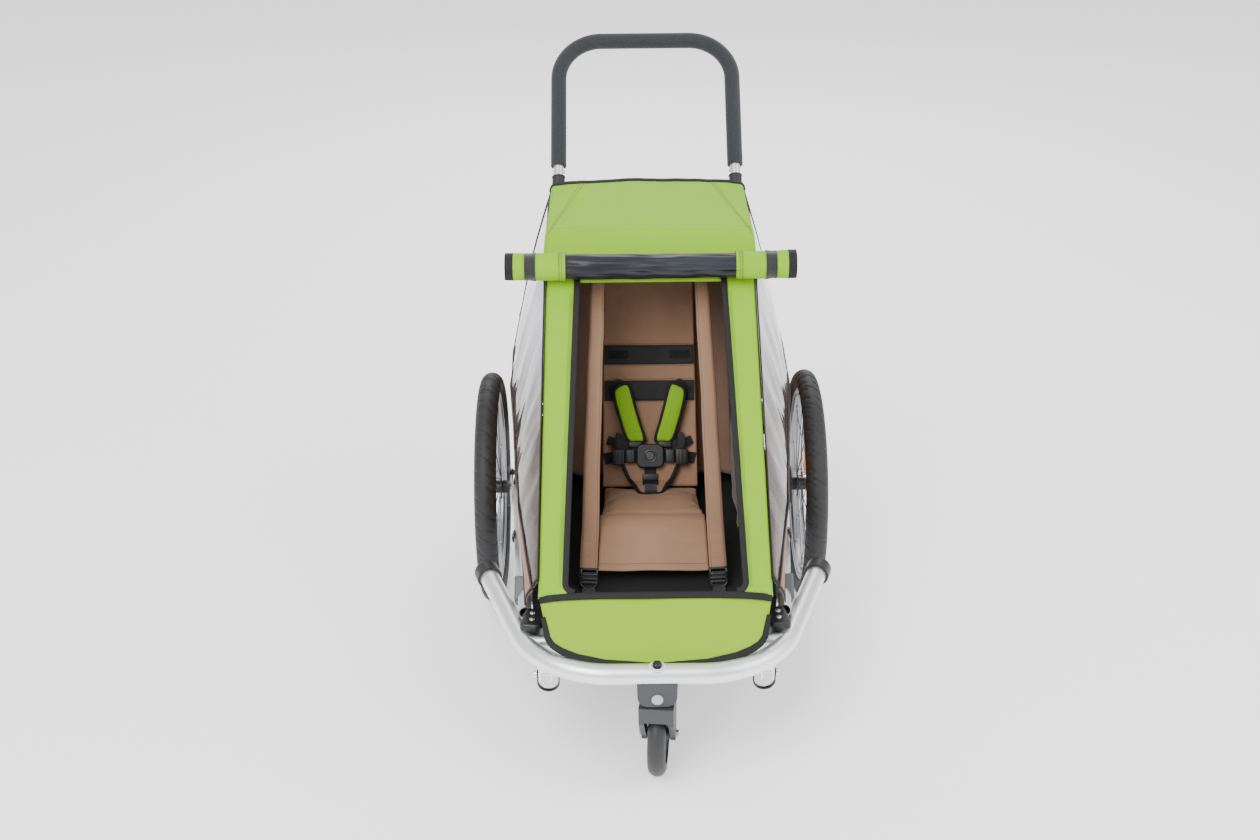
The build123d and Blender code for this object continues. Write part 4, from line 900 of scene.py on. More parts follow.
squashed, rootPieces, upperPieces = [], [], [roofCover, roofStitches, roofTrim, frontSurround, openingBinding,
                                             stripStitches, coverRoll, rollStitches]
rootPieces += [lowerPanel, lowerPanelBorder, knobRing]
wallPieces, windows, linings = {}, {}, {}
for side, word in ((1, "Left"), (-1, "Right")):
    window = wallPanel("window" + word, side, wall["belt"], 1.0, "film", wall["columns"] * 2, wall["rows"],
                       0.0, 0.0008)
    lower = wallPanel("wallCanvas" + word, side, 0.0, wall["belt"], "taupe", wall["columns"], 16)
    edges = []
    for fixed, value, width in (("v", wall["belt"], 0.009), ("v", 0.992, 0.012), ("u", 0.006, 0.012),
                                ("u", 0.992, 0.016), ("v", 0.008, 0.014)):
        out = Vector((side, 0, 0.25))
        edges.append(ribbon("edge", wallRun(side, fixed, value), out, width, 0.0026, "binding"))
    bound = joined("wallBinding" + word, edges)
    rows = [wallRun(side, "v", wall["belt"] + gap, lift=0.0022) for gap in (0.022, -0.022)]
    sewn = stitches("wallStitches" + word, rows, "threadTaupe")
    squashed += [window, lower, bound, sewn]
    wallPieces[word], windows[word] = lower, window
    # the lining hangs inside, from the roof to the floor, with lime piping round its lower front corner
    lining = {"x": 170.0, "foot": 276.0, "head": 800.0, "front": -292.0, "corner": 92.0}

    def liningEdge(z):
        if z < lining["foot"] + lining["corner"]:
            t = (z - lining["foot"]) / lining["corner"]
            return lining["front"] + 88.0 * (1 - math.sqrt(max(0.0, 1 - (1 - t) ** 2)))
        return max(lining["front"], z - 933.0 + 34.0)

    def liningPoint(u, v, s=side):
        z = mix(lining["foot"], lining["head"], v)
        rear = 60.0 + (z - 276.0) * 0.12
        y = mix(liningEdge(z), rear, u)
        folds = 9.0 * math.sin(u * 9.5 + 0.6 * s) * (0.35 + 0.65 * v) * min(1, u * 6)
        x = mix(176.0, 166.0, v) + folds - 6.0 * v
        place = at(s * x, y, z)
        return place + Vector((wrinkle(place, 0.07, 0.004, 15.0), 0, 0))

    # the side lining's darker taupe is painted shade
    linings[word] = sheetOf("lining" + word, liningPoint, 60, 60, (0.38, 0.52), "taupePaintedShade", 0.0016)
    front = [liningPoint(0.0, k / 80) for k in range(81)]
    pipe = ribbon("liningPiping" + word, front, Vector((side, 0, 0)), 0.0046, 0.0046, "lime", 1.0)
    squashed += [linings[word], pipe]
print("side walls made")

# ---- rear panel with its luggage flap

rear = {"headHalf": 0.199, "beltHalf": 0.277, "footHalf": 0.271, "belt": 0.45, "flapSides": (0.14, 0.86),
        "flapFoot": 0.16, "flapHead": 0.60}
rearOut = Vector((0, 0.945, 0.326))


def rearPoint(u, v, lift=0.0):
    z = mix(wall["footHigh"], wall["headHigh"] + 8.0, v)
    half = mix(rear["footHalf"], rear["beltHalf"], v / rear["belt"]) if v < rear["belt"] else mix(
        rear["beltHalf"], rear["headHalf"], (v - rear["belt"]) / (1 - rear["belt"]))
    a = 2 * u - 1
    place = at(0, wallRear(z) + 3.0, z) + Vector((a * half, 0, 0))
    puff = 0.007 * (1 - a * a) * math.sin(math.pi * v) + lift
    return place + rearOut * (puff + wrinkle(place, 0.08, 0.003, 21.0) * (1 - a ** 6))


rearParts = [sheetOf("rearCloth", rearPoint, 60, 60, (0.54, 0.58), "lime", 0.0016)]


def flapPoint(u, v):
    return rearPoint(mix(*rear["flapSides"], u), mix(rear["flapFoot"], rear["flapHead"], v), 0.0042)


flap = sheetOf("rearFlap", flapPoint, 40, 30, (0.4, 0.26), "blackCloth", 0.0014)
flapAcross = [mix(*rear["flapSides"], k / 50) for k in range(51)]
flapUp = [mix(rear["flapFoot"], rear["flapHead"], k / 30) for k in range(31)]
whole = [k / 60 for k in range(61)]
# each bound edge: its points on the panel, lift, width and thickness
hems = [([(u, rear["flapHead"]) for u in flapAcross], 0.004, 0.014, 0.003)]
hems += [([(u, v) for v in flapUp], 0.005, 0.012, 0.003) for u in rear["flapSides"]]
hems += [([(u, rear["flapFoot"]) for u in flapAcross], 0.005, 0.012, 0.003)]
hems += [([(u, v) for v in whole], 0.0, 0.016, 0.004) for u in (0.0, 1.0)]
hems += [([(u, v) for u in whole], 0.0, 0.016, 0.004) for v in (0.0, 1.0)]
edges = []
for points, lift, width, thick in hems:
    edges.append(ribbon("edge", [rearPoint(u, v, lift) for u, v in points], rearOut, width, thick, "binding"))
rearBinding = joined("rearBinding", edges)


def innerPoint(u, v):
    # the taupe lining hung across the cabin behind the seat, up to the roof
    half = mix(0.176, 0.158, v)
    a = 2 * u - 1
    y, z = mix(-38.0, 141.0, v), mix(300.0, 812.0, v)
    place = at(0, y, z) + Vector((a * half, 0, 0))
    return place + rearOut * (wrinkle(place, 0.09, 0.006, 25.0) - 0.004 * math.sin(a * 14) * (0.3 + abs(a)))


# the rear lining's darker taupe is painted shade
innerLining = sheetOf("rearLining", innerPoint, 60, 60, (0.34, 0.54), "taupePaintedShade", 0.0016)
squashed += rearParts + [flap, rearBinding, innerLining]


def valancePoint(u, v):
    # the roof's rear hem turns down over the top bar, between the push bar's sockets
    x = mix(-0.160, 0.160, u)
    top = roofAt(x, cabin["creaseRun"] + roofLength, -0.002)
    foot = rearPoint(x / (2 * rear["headHalf"]) + 0.5, 0.97, 0.010)
    return top.lerp(foot, v) + Vector((0, 0.018 * math.sin(math.pi * v), 0))


roofValance = sheetOf("roofValance", valancePoint, 40, 8, (0.32, 0.05), "lime", 0.0014)
upperPieces.append(roofValance)
print("rear panel made")

# ---- seat

seat = {"crease": (-120.0, 306.0), "top": (100.0, 730.0), "front": (-325.0, 348.0), "hem": (-412.0, 288.0),
        "half": 98.0, "bandFoot": (125.0, -413.0, 292.0), "bandHead": (103.0, -55.0, 770.0)}
backDir = (at(0, *seat["top"]) - at(0, *seat["crease"])).normalized()
backOut = Vector((0, -backDir.z, backDir.y))
backFoot = at(0, *seat["crease"])


def onBack(x, along, lift=0.0):
    return backFoot + Vector((x, 0, 0)) + backDir * along + backOut * lift


def backPoint(u, v):
    along = mix(0.006, 0.474, v)
    x = mix(-1, 1, u) * mix(0.099, 0.092, v)
    sag = -0.010 * math.sin(math.pi * min(1.0, u)) * math.sin(math.pi * v)
    place = onBack(x, along, sag)
    return place + backOut * (wrinkle(place, 0.05, 0.0036, 31.0) + wrinkle(place, 0.018, 0.0009, 33.0))


def backLift(x, along, lift):
    u = (x / mix(0.099, 0.092, along / 0.474) + 1) / 2
    return backPoint(min(1, max(0, u)), (along - 0.006) / 0.468) + backOut * lift


seatBack = sheetOf("seatBack", backPoint, 44, 80, (0.2, 0.47), "taupe", 0.003)
backParts, backRows = [], []
for low, high in ((0.262, 0.302), (0.186, 0.228)):
    surface = lambda u, v: backLift(mix(-1, 1, u) * 0.093, mix(low, high, v), 0.0034)
    backParts.append(sheetOf("part", surface, 40, 8, (0.186, 0.04), "webbing", 0.003))
hem = [backLift(mix(-1, 1, k / 40) * 0.09, 0.466, 0.003) for k in range(41)]
hemTape = ribbon("part", hem, backOut, 0.012, 0.005, "taupe")
backRows.append([backLift(mix(-1, 1, k / 40) * 0.088, 0.456, 0.0028) for k in range(41)])
for along in (0.259, 0.305, 0.183, 0.231):
    backRows.append([backLift(mix(-1, 1, k / 40) * 0.088, along, 0.0026) for k in range(41)])


def slotFrame(x, along):
    # a sewn slot for the shoulder straps: a raised border round a black sheet, painted shade for the dark
    # opening
    corners = ((-0.019, -0.0065), (0.019, -0.0065), (0.019, 0.0065), (-0.019, 0.0065), (-0.019, -0.0065))
    parts = []
    for a, b in zip(corners, corners[1:]):
        steps = [(mix(a[0], b[0], k / 8), mix(a[1], b[1], k / 8)) for k in range(9)]
        line = [backLift(x + dx, along + dy, 0.0058) for dx, dy in steps]
        parts.append(ribbon("part", line, backOut, 0.0036, 0.0016, "binding"))
    # the black cloth sheet in the opening is painted shade
    surface = lambda u, v: backLift(x + mix(-0.016, 0.016, u), along + mix(-0.004, 0.004, v), 0.0056)
    return parts + [sheetOf("part", surface, 8, 3, (0.03, 0.008), "blackCloth", 0.0006)]


for side in (-1, 1):
    backParts += slotFrame(side * 0.064, 0.282) + slotFrame(side * 0.066, 0.209)
backBands = joined("backBands", backParts)
backHem = joined("backHem", [hemTape])
backStitches = stitches("backStitches", backRows, "threadTaupe")
squashed += [seatBack, backBands, backHem, backStitches]


def seatLine(t):
    # the seat's side outline: crease, front edge, hem
    a, b, c = (Vector(seat[k]) for k in ("crease", "front", "hem"))
    first, second = (b - a).length, (c - b).length
    run = t * (first + second)
    bend = 22.0
    if run < first - bend:
        return a.lerp(b, run / first)
    if run > first + bend:
        return b.lerp(c, (run - first) / second)
    s = (run - first + bend) / (2 * bend)
    p, q = b + (a - b).normalized() * bend, b + (c - b).normalized() * bend
    return p * (1 - s) ** 2 + b * 2 * s * (1 - s) + q * s * s


seam = {"at": 0.55, "depth": 0.0028, "width": 0.010}


def seatPoint(u, v, lift=0.0):
    p = seatLine(v)
    ahead = (seatLine(min(1, v + 0.01)) - seatLine(max(0, v - 0.01))).normalized()
    up = Vector((0, ahead.y, -ahead.x))
    a = 2 * u - 1
    half = mix(0.099, 0.107, v)
    place = at(0, p.x, p.y) + Vector((a * half, 0, 0))
    if v < seam["at"]:
        puff = 0.0075 * (1 - a ** 4) * math.sin(math.pi * (v / seam["at"]))
    else:
        puff = 0.003 * (1 - a ** 4) * math.sin(math.pi * (v - seam["at"]) / (1 - seam["at"]))
    groove = seam["depth"] * math.exp(-((v - seam["at"]) / seam["width"]) ** 2)
    drawn = Vector((place.x, place.y * 3, place.z * 3))
    rough = wrinkle(place, 0.055, 0.0042, 41.0) + wrinkle(drawn, 0.05, 0.0016, 43.0)
    calm = 1 - math.exp(-((v - seam["at"]) / 0.03) ** 2)
    return place + up * (0.003 + puff - groove + rough * calm + lift)


seatPad = {"columns": 40, "rows": 70, "thick": 0.010, "voxel": 0.005, "pressure": 4.0, "cap": 0.005,
           "frames": 20}


def swell(piece, settings):
    # fills a pad by cloth pressure, then caps how far each point moved
    remesh = piece.modifiers.new("voxels", "REMESH")
    remesh.mode, remesh.voxel_size = "VOXEL", settings["voxel"]
    settle(piece)
    before = [v.co.copy() for v in piece.data.vertices]
    sim = piece.modifiers.new("fill", "CLOTH")
    sim.settings.use_pressure = True
    sim.settings.uniform_pressure_force = settings["pressure"]
    sim.settings.effector_weights.gravity = 0
    scene = bpy.context.scene
    for number in range(1, settings["frames"] + 1):
        scene.frame_set(number)
    settle(piece)
    scene.frame_set(1)
    for vertex, start in zip(piece.data.vertices, before):
        move = vertex.co - start
        if move.length > settings["cap"]:
            vertex.co = start + move.normalized() * settings["cap"]
    sub = piece.modifiers.new("soften", "SUBSURF")
    sub.levels = sub.render_levels = 1
    settle(piece)
    piece.data.polygons.foreach_set("use_smooth", [True] * len(piece.data.polygons))
    return piece


def planarUv(piece):
    # a UV map in metres for a remeshed pad: across, and along its slope
    layer = piece.data.uv_layers.new(name="UVMap")
    for loop in piece.data.loops:
        co = piece.data.vertices[loop.vertex_index].co
        layer.data[loop.index].uv = (co.x, co.z * 1.1 - co.y * 0.7)


cushionFace = lambda u, v: seatPoint(u, mix(0.0, seam["at"], v), -0.006)
cushion = sheetOf("seatCushion", cushionFace, 30, 30, (0.2, 0.2), "taupe", seatPad["thick"])
swell(cushion, seatPad)
planarUv(cushion)
dropFace = lambda u, v: seatPoint(u, mix(seam["at"], 1.0, v), 0.001)
dropPanel = sheetOf("seatDropPanel", dropFace, 40, 30, (0.21, 0.12), "taupe", 0.0026)


def seatRun(low, high, v, lift):
    # a row of points across the seat at one v
    return [seatPoint(mix(low, high, k / 50), v, lift) for k in range(51)]


seamRun, hemRun = seatRun(0.02, 0.98, seam["at"], 0.0016), seatRun(0.0, 1.0, 0.985, 0.002)
seamTape = ribbon("seatSeam", seamRun, Vector((0, -0.5, 0.85)), 0.011, 0.0022, "taupe")
seatHemPiece = ribbon("seatHem", hemRun, Vector((0, -0.6, 0.8)), 0.010, 0.004, "taupe")
seatRows = [seatRun(0.03, 0.97, v, 0.0032) for v in (seam["at"] - 0.012, seam["at"] + 0.014, 0.955)]
seatStitches = stitches("seatStitches", seatRows, "threadTaupe")
rootPieces += [cushion, dropPanel, seamTape, seatHemPiece, seatStitches]
print("seat made")

# ---- the two long bands beside the seat, with their buckles and webbing

bandFoot, bandHead = at(*seat["bandFoot"]), at(*seat["bandHead"])
band = {"footHalf": 0.0170, "headHalf": 0.0135, "thick": 0.007, "rows": 150, "columns": 14}
buckleParts, webParts, bandRows = [], [], []
for side, word in ((1, "Left"), (-1, "Right")):
    foot3 = Vector((side * bandFoot.x, bandFoot.y, bandFoot.z))
    head3 = Vector((side * bandHead.x, bandHead.y, bandHead.z))
    ahead = (head3 - foot3).normalized()
    across = Vector((1, 0, 0)) - ahead * ahead.x
    across.normalize()
    out = across.cross(ahead).normalized()
    if out.y > 0:
        out = -out

    def bandPoint(u, v, s=side, lift=0.0):
        a = 2 * u - 1
        half = mix(band["footHalf"], band["headHalf"], v)
        middle = foot3.lerp(head3, v)
        run = v * (head3 - foot3).length
        uneven = 0.35 + 0.65 * noise.noise(Vector((run * 30, s, 0))) ** 2
        pucker = 0.0011 * math.sin(run * 430 + 2.2 * math.sin(run * 47) + s) * uneven
        pillow = band["thick"] * 0.5 * (1 - a ** 4)
        bow = 0.006 * math.sin(math.pi * v)
        aside = across * (a * half + wrinkle(middle, 0.09, 0.0015, 51.0))
        return middle + aside + out * (pillow + pucker * (1 - a * a) + bow + lift)

    front = sheetOf("part", bandPoint, band["columns"], band["rows"], (0.032, 0.6), "taupe", 0.0012)
    back = sheetOf("part", lambda u, v: bandPoint(u, v, side, -0.004), 2, 40, (0.032, 0.6), "taupe", 0.0012)
    strap = joined("seatBand" + word, [front, back])
    squashed.append(strap)
    for u in (0.12, 0.88):
        bandRows.append([bandPoint(u, mix(0.01, 0.97, k / 120), side, 0.0012) for k in range(121)])
    down = -ahead

    def local(x, along, lift, base=foot3):
        return base + across * x + down * along + out * lift

    # ladder buckle: side bars and three rungs, then the webbing to the floor
    for x in (-0.0155, 0.0155):
        bar = [local(x, mix(-0.004, 0.024, k / 6), 0.005 + 0.001 * math.sin(k)) for k in range(7)]
        buckleParts.append(ribbon("part", bar, out, 0.005, 0.006, "blackPlastic"))
    for along, lift in ((-0.002, 0.0062), (0.0085, 0.0072), (0.0165, 0.0072), (0.0235, 0.0058)):
        rung = [local(mix(-0.017, 0.017, k / 6), along, lift) for k in range(7)]
        buckleParts.append(ribbon("part", rung, out, 0.0052, 0.0042, "blackPlastic"))
    turns = [math.pi * k / 12 for k in range(13)]
    loop = [local(0.0155 * math.cos(t), 0.024 + 0.011 * math.sin(t), 0.006) for t in turns]
    buckleParts.append(ribbon("part", loop, out, 0.0042, 0.0045, "blackPlastic", 0.8))
    path = [local(0, 0.004, 0.0078), local(0, 0.012, 0.0082), local(0, 0.022, 0.005), local(0, 0.03, 0.001)]
    low = Vector((foot3.x, foot3.y - 0.06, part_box("floor_pan")[1][2] + 0.004))
    path += [path[-1].lerp(low, k / 6) for k in range(1, 7)]
    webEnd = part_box("front_cross_tube")[1][1] - 0.01
    path += [Vector((foot3.x, mix(low.y, webEnd, k / 6), low.z)) for k in range(1, 7)]
    webParts.append(ribbon("part", path, Vector((0, -0.35, 0.94)), 0.025, 0.0016, "webbing"))
    stub = [head3 - ahead * 0.004 + out * 0.006 + ahead * 0.06 * k / 8 for k in range(9)]
    stubPiece = ribbon("bandStub" + word, stub, out, 0.028, 0.0024, "webbing")
    squashed.append(stubPiece)
bandBuckles = joined("bandBuckles", buckleParts)
bandWebbing = joined("bandWebbing", webParts)
bandStitches = stitches("bandStitches", bandRows, "threadTaupe")
rootPieces += [bandBuckles, bandWebbing]
squashed.append(bandStitches)
print("seat bands made")

# ---- harness: shoulder pads, crotch pad, straps and adjusters

pads = {"lift": 0.0155, "thick": 0.007, "rim": 0.0052}


def curveBetween(p0, p1, p2, p3, count):
    # points of a smooth curve from p1 to p2, led by the corners before and after them
    result = []
    for k in range(count):
        t = k / count
        square, cube = (2 * p0 - 5 * p1 + 4 * p2 - p3) * t * t, (3 * p1 - p0 - 3 * p2 + p3) * t ** 3
        result.append(0.5 * ((2 * p1) + (p2 - p0) * t + square + cube))
    return result


def padOutline(points, count=14):
    # a closed outline through given corners, rounded as a smooth curve
    total = len(points)
    result = []
    for i in range(total):
        result += curveBetween(*(Vector(points[(i + k) % total]) for k in (-1, 0, 1, 2)), count)
    return result


def flatPad(name, outline, frameAt, material, thick, puff, rings=9):
    # a quilted pad inside an outline: rings shrink to its middle line, and the face is crowned
    centre = sum((p for p in outline), Vector((0, 0))) / len(outline)
    count, vertices, faces, uvs = len(outline), [], [], []
    for face in (1, -1):
        base = len(vertices)
        for j in range(rings):
            share = 1 - j / rings
            high = face * thick / 2 + (puff * (1 - share ** 3) if face > 0 else 0)
            for p in outline:
                q = centre + (p - centre) * share
                vertices.append(frameAt(q.x, q.y, high))
                uvs.append((q.x, q.y))
        vertices.append(frameAt(centre.x, centre.y, face * thick / 2 + (puff if face > 0 else 0)))
        uvs.append((centre.x, centre.y))
        tip = len(vertices) - 1
        for j in range(rings - 1):
            for i in range(count):
                a, b = base + j * count + i, base + j * count + (i + 1) % count
                faces.append((a, b, b + count, a + count))
        last = base + (rings - 1) * count
        for i in range(count):
            faces.append((last + i, last + (i + 1) % count, tip))
    half = rings * count + 1
    for i in range(count):
        faces.append((i, (i + 1) % count, half + (i + 1) % count, half + i))
    return outward(newPiece(name, vertices, faces, material, uvs))


def rimOf(name, outline, frameAt, width, thick, lift=0.0):
    path = [frameAt(p.x, p.y, lift) for p in outline]
    path.append(path[0].copy())
    path.append(frameAt(outline[1].x, outline[1].y, lift))
    return ribbon(name, path, backOut, width, thick, "binding", 0.7)


def onPad(x, along, lift):
    return onBack(x, along, pads["lift"] + lift)


padShapes = {
    "shoulder": ((0.012, 0.103), (0.028, 0.099), (0.046, 0.104), (0.062, 0.150), (0.073, 0.195),
                 (0.069, 0.212), (0.050, 0.221), (0.042, 0.214), (0.033, 0.180), (0.022, 0.140)),
    "crotch": ((-0.056, 0.058), (-0.030, 0.066), (0.030, 0.066), (0.056, 0.058), (0.052, 0.040),
               (0.034, 0.000), (0.024, -0.030), (0.014, -0.037), (-0.014, -0.037), (-0.024, -0.030),
               (-0.034, 0.000), (-0.052, 0.040)),
}
harnessParts, harnessRims = [], []
for side in (-1, 1):
    outline = padOutline([(side * x, y) for x, y in padShapes["shoulder"]])
    harnessParts.append(flatPad("part", outline, onPad, "lime", pads["thick"], 0.004))
    harnessRims.append(rimOf("part", outline, onPad, 0.0075, 0.0085, 0.001))
shoulderPads = joined("shoulderPads", harnessParts)


def onCrotch(x, along, lift):
    # the crotch pad leaves the seat back and runs forward over the seat
    if along > 0.02:
        return onBack(x, along, pads["lift"] - 0.002 + lift)
    t = (0.02 - along) / 0.05
    base, out = onBack(x, 0.02, pads["lift"] - 0.002), Vector((0, -0.35, 0.94))
    return base + Vector((0, -0.9, 0.02)) * (0.02 - along) * 1.25 + (backOut.lerp(out, min(1, t))) * lift


crotchOutline = padOutline(padShapes["crotch"])
crotchPad = flatPad("crotchPad", crotchOutline, onCrotch, "taupe", 0.006, 0.0025)
harnessRims.append(rimOf("part", crotchOutline, onCrotch, 0.0085, 0.0085, 0.001))
harnessBinding = joined("harnessBinding", harnessRims)

strapParts = []


def strapLine(points, width=0.020, thick=0.0018, material="webbing", count=10):
    # flat webbing over given points, in the seat back's own frame
    smoothPoints = []
    total = len(points)
    for i in range(total - 1):
        near = (Vector(points[min(max(i + k, 0), total - 1)]) for k in (-1, 0, 1, 2))
        smoothPoints += curveBetween(*near, count)
    smoothPoints.append(Vector(points[-1]))
    path = [onBack(*p) for p in smoothPoints]
    return ribbon("part", path, backOut, width, thick, material)


# each strap's width, and its points across, along and off the seat back
strapRuns = (
    (0.026, (0.066, 0.208, 0.002), (0.064, 0.218, 0.010), (0.060, 0.214, 0.0125)),
    (0.027, (0.034, 0.104, 0.0145), (0.030, 0.094, 0.0205), (0.020, 0.082, 0.0235)),
    (0.014, (0.063, 0.118, 0.0130), (0.066, 0.100, 0.0165), (0.060, 0.084, 0.0195), (0.040, 0.074, 0.0215)),
    (0.024, (0.096, 0.064, 0.0015), (0.086, 0.066, 0.008), (0.066, 0.068, 0.016), (0.044, 0.069, 0.021),
     (0.026, 0.07, 0.0225)),
    (0.018, (0.088, 0.104, 0.002), (0.072, 0.098, 0.0125), (0.05, 0.094, 0.018), (0.03, 0.086, 0.021)),
)
for side in (-1, 1):
    for width, *points in strapRuns:
        strapParts.append(strapLine([(side * x, along, lift) for x, along, lift in points], width))
crotchPath = [onCrotch(0, mix(0.05, -0.034, k / 16), 0.0062) for k in range(17)]
strapParts.append(ribbon("part", crotchPath, backOut, 0.025, 0.002, "webbing"))
harnessStraps = joined("harnessStraps", strapParts)


def padBlock(x, along, lift, width, height, deep, bevel=0.0022):
    half = Vector((width, height, deep)) / 2
    made = block("part", -half, half, "blackPlastic", bevel)
    return placed(made, onBack(x, along, lift), Vector((1, 0, 0)), backDir, backOut)


adjusters = []
for side in (-1, 1):
    adjusters.append(padBlock(side * 0.066, 0.068, 0.0205, 0.026, 0.033, 0.008))
    for k in (-1, 0, 1):
        adjusters.append(padBlock(side * 0.066 + k * 0.007, 0.068, 0.0252, 0.0028, 0.028, 0.003, 0.001))
    adjusters.append(padBlock(side * 0.031, 0.094, 0.0248, 0.028, 0.013, 0.006))
    adjusters.append(padBlock(side * 0.041, 0.07, 0.0268, 0.019, 0.028, 0.008))
for along in (0.026, 0.006):
    centre = onCrotch(0, along, 0.0088)
    made = block("part", (-0.0165, -0.007, -0.002), (0.0165, 0.007, 0.002), "blackPlastic", 0.0015)
    lean = backDir if along > 0.02 else Vector((0, 0.94, 0.3)).normalized()
    adjusters.append(placed(made, centre, Vector((1, 0, 0)), lean, backOut))
harnessFittings = joined("harnessFittings", adjusters)
squashed += [shoulderPads, crotchPad, harnessBinding, harnessStraps, harnessFittings]

# a raised ring about the buckle's button
buckleMiddle = onBack(0, 0.070, 0.0352)
buckleRing = ringPiece("buckleRing", buckleMiddle, backOut, 0.0118, 0.0018, "blackPlastic2", 0.8)
rootPieces.append(buckleRing)
print("harness made")

# ---- main wheels: tyres with curved sipes, valve stems and spoke nipples

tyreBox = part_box("tyre_left")
tyre = {"middleX": (tyreBox[0][0] + tyreBox[1][0]) / 2, "radius": (tyreBox[1][2] - tyreBox[0][2]) / 2,
        "half": (tyreBox[1][0] - tyreBox[0][0]) / 2, "around": 1080, "section": 26, "sipes": 54,
        "sipeWide": 0.16, "depth": 0.0016}
wheelMiddle = Vector((tyre["middleX"], axleY, (tyreBox[1][2] + tyreBox[0][2]) / 2))


def tyreGroove(turn, a):
    # slanting curved sipes on both shoulders, and a fine line round the middle
    reach = abs(a)
    if reach > 1.02:
        return 0.0
    lean = 0.55 * math.sin(reach * 1.7) * math.copysign(1, a)
    share = (turn * tyre["sipes"] / (2 * math.pi) + lean + (0.5 if a > 0 else 0)) % 1.0
    cut = max(0.0, 1 - abs(share - 0.5) / tyre["sipeWide"]) if reach > 0.25 else 0.0
    cross = (turn * tyre["sipes"] / (4 * math.pi) + 0.3 * a) % 1.0
    if reach < 0.42 and abs(cross - 0.5) < 0.05:
        cut = max(cut, 0.8)
    return min(1.0, cut * 1.8) * tyre["depth"] * smooth((1.0 - reach) / 0.12 + 0.3)


def makeTyre(name, side):
    vertices, faces = [], []
    core = tyre["radius"] - tyre["half"]
    span = math.radians(142)
    for i in range(tyre["around"]):
        turn = 2 * math.pi * i / tyre["around"]
        for k in range(tyre["section"] + 1):
            a = 2 * k / tyre["section"] - 1
            angle = a * span
            radius = tyre["half"] - 0.0006 - tyreGroove(turn, a * 1.75)
            if abs(abs(a) - 0.60) < 0.03:
                radius += 0.0005
            x, r = radius * math.sin(angle), core + radius * math.cos(angle)
            y, z = wheelMiddle.y + r * math.sin(turn), wheelMiddle.z + r * math.cos(turn)
            vertices.append((side * wheelMiddle.x + x, y, z))
    wide = tyre["section"] + 1
    for i in range(tyre["around"]):
        j = (i + 1) % tyre["around"]
        for k in range(tyre["section"]):
            faces.append((i * wide + k, i * wide + k + 1, j * wide + k + 1, j * wide + k))
        faces.append((i * wide + wide - 1, i * wide, j * wide, j * wide + wide - 1))
    return outward(newPiece(name, vertices, faces, "tyre"))


def lathe(name, outline, material, around=32):
    # outline of (radius, height) turned about Z
    vertices, faces = [], []
    for i in range(around):
        turn = 2 * math.pi * i / around
        for r, h in outline:
            vertices.append((r * math.cos(turn), r * math.sin(turn), h))
    count = len(outline)
    for i in range(around):
        j = (i + 1) % around
        for k in range(count - 1):
            faces.append((i * count + k, j * count + k, j * count + k + 1, i * count + k + 1))
    return outward(newPiece(name, vertices, faces, material))


wheel = {"spokes": 20, "nippleAt": 0.1902, "valveAt": 0.190, "valveTurn": 2.2, "wallHalf": 0.0128,
         "wallAt": 0.2055, "wearAt": 0.1955}
# outlines of (radius, height) for the turned bits
turned = {
    "nipple": ((0.0001, -0.008), (0.0019, -0.008), (0.0021, -0.006), (0.0021, 0.0), (0.0001, 0.0)),
    "valve": ((0.0001, -0.034), (0.0026, -0.034), (0.0034, -0.030), (0.0034, -0.004), (0.005, 0.001),
              (0.0001, 0.001)),
    "screw": ((0.0001, 0.0026), (0.0022, 0.0026), (0.0026, 0.0012), (0.0034, 0.0028), (0.005, 0.0018),
              (0.0055, -0.001)),
}
wheelPieces = {}
for side, word in ((1, "Left"), (-1, "Right")):
    made = makeTyre("tyre" + word, side)
    middle = Vector((side * wheelMiddle.x, wheelMiddle.y, wheelMiddle.z))
    nipples = []
    sideA = Vector((1, 0, 0))
    for k in range(wheel["spokes"]):
        # the spokes' ends, as the frame's own spokes lie: inner and outer rows lean opposite ways
        inner = k % 2 == 0
        angle = math.radians((k // 2) * 36.0 + (0 if inner else 18.0) + (36.0 if inner else -36.0))
        out = Vector((0, math.cos(angle), math.sin(angle)))
        x = (-15.2 if inner else 10.2) * 0.3 * mm * side
        nipple = lathe("part", turned["nipple"], "steel", 8)
        place = middle + Vector((x, 0, 0)) + out * wheel["nippleAt"]
        nipples.append(placed(nipple, place, sideA, out.cross(sideA), out))
    valve = lathe("part", turned["valve"], "strap", 16)
    out = Vector((0, math.cos(wheel["valveTurn"]), math.sin(wheel["valveTurn"])))
    nipples.append(placed(valve, middle + out * wheel["valveAt"], sideA, out.cross(sideA), out))
    # raised side walls of the rim and its wear line
    for x in (-wheel["wallHalf"], wheel["wallHalf"]):
        lip, wear = middle + Vector((x, 0, 0)), middle + Vector((x * 1.03, 0, 0))
        nipples.append(ringPiece("part", lip, sideA, wheel["wallAt"], 0.0022, "rim", 0.8, 180, 8))
        nipples.append(ringPiece("part", wear, sideA, wheel["wearAt"], 0.0012, "hub", 0.5, 180, 6))
    details = joined("wheelDetails" + word, nipples)
    wheelPieces[word] = (made, details)

# ---- small fittings on the frame

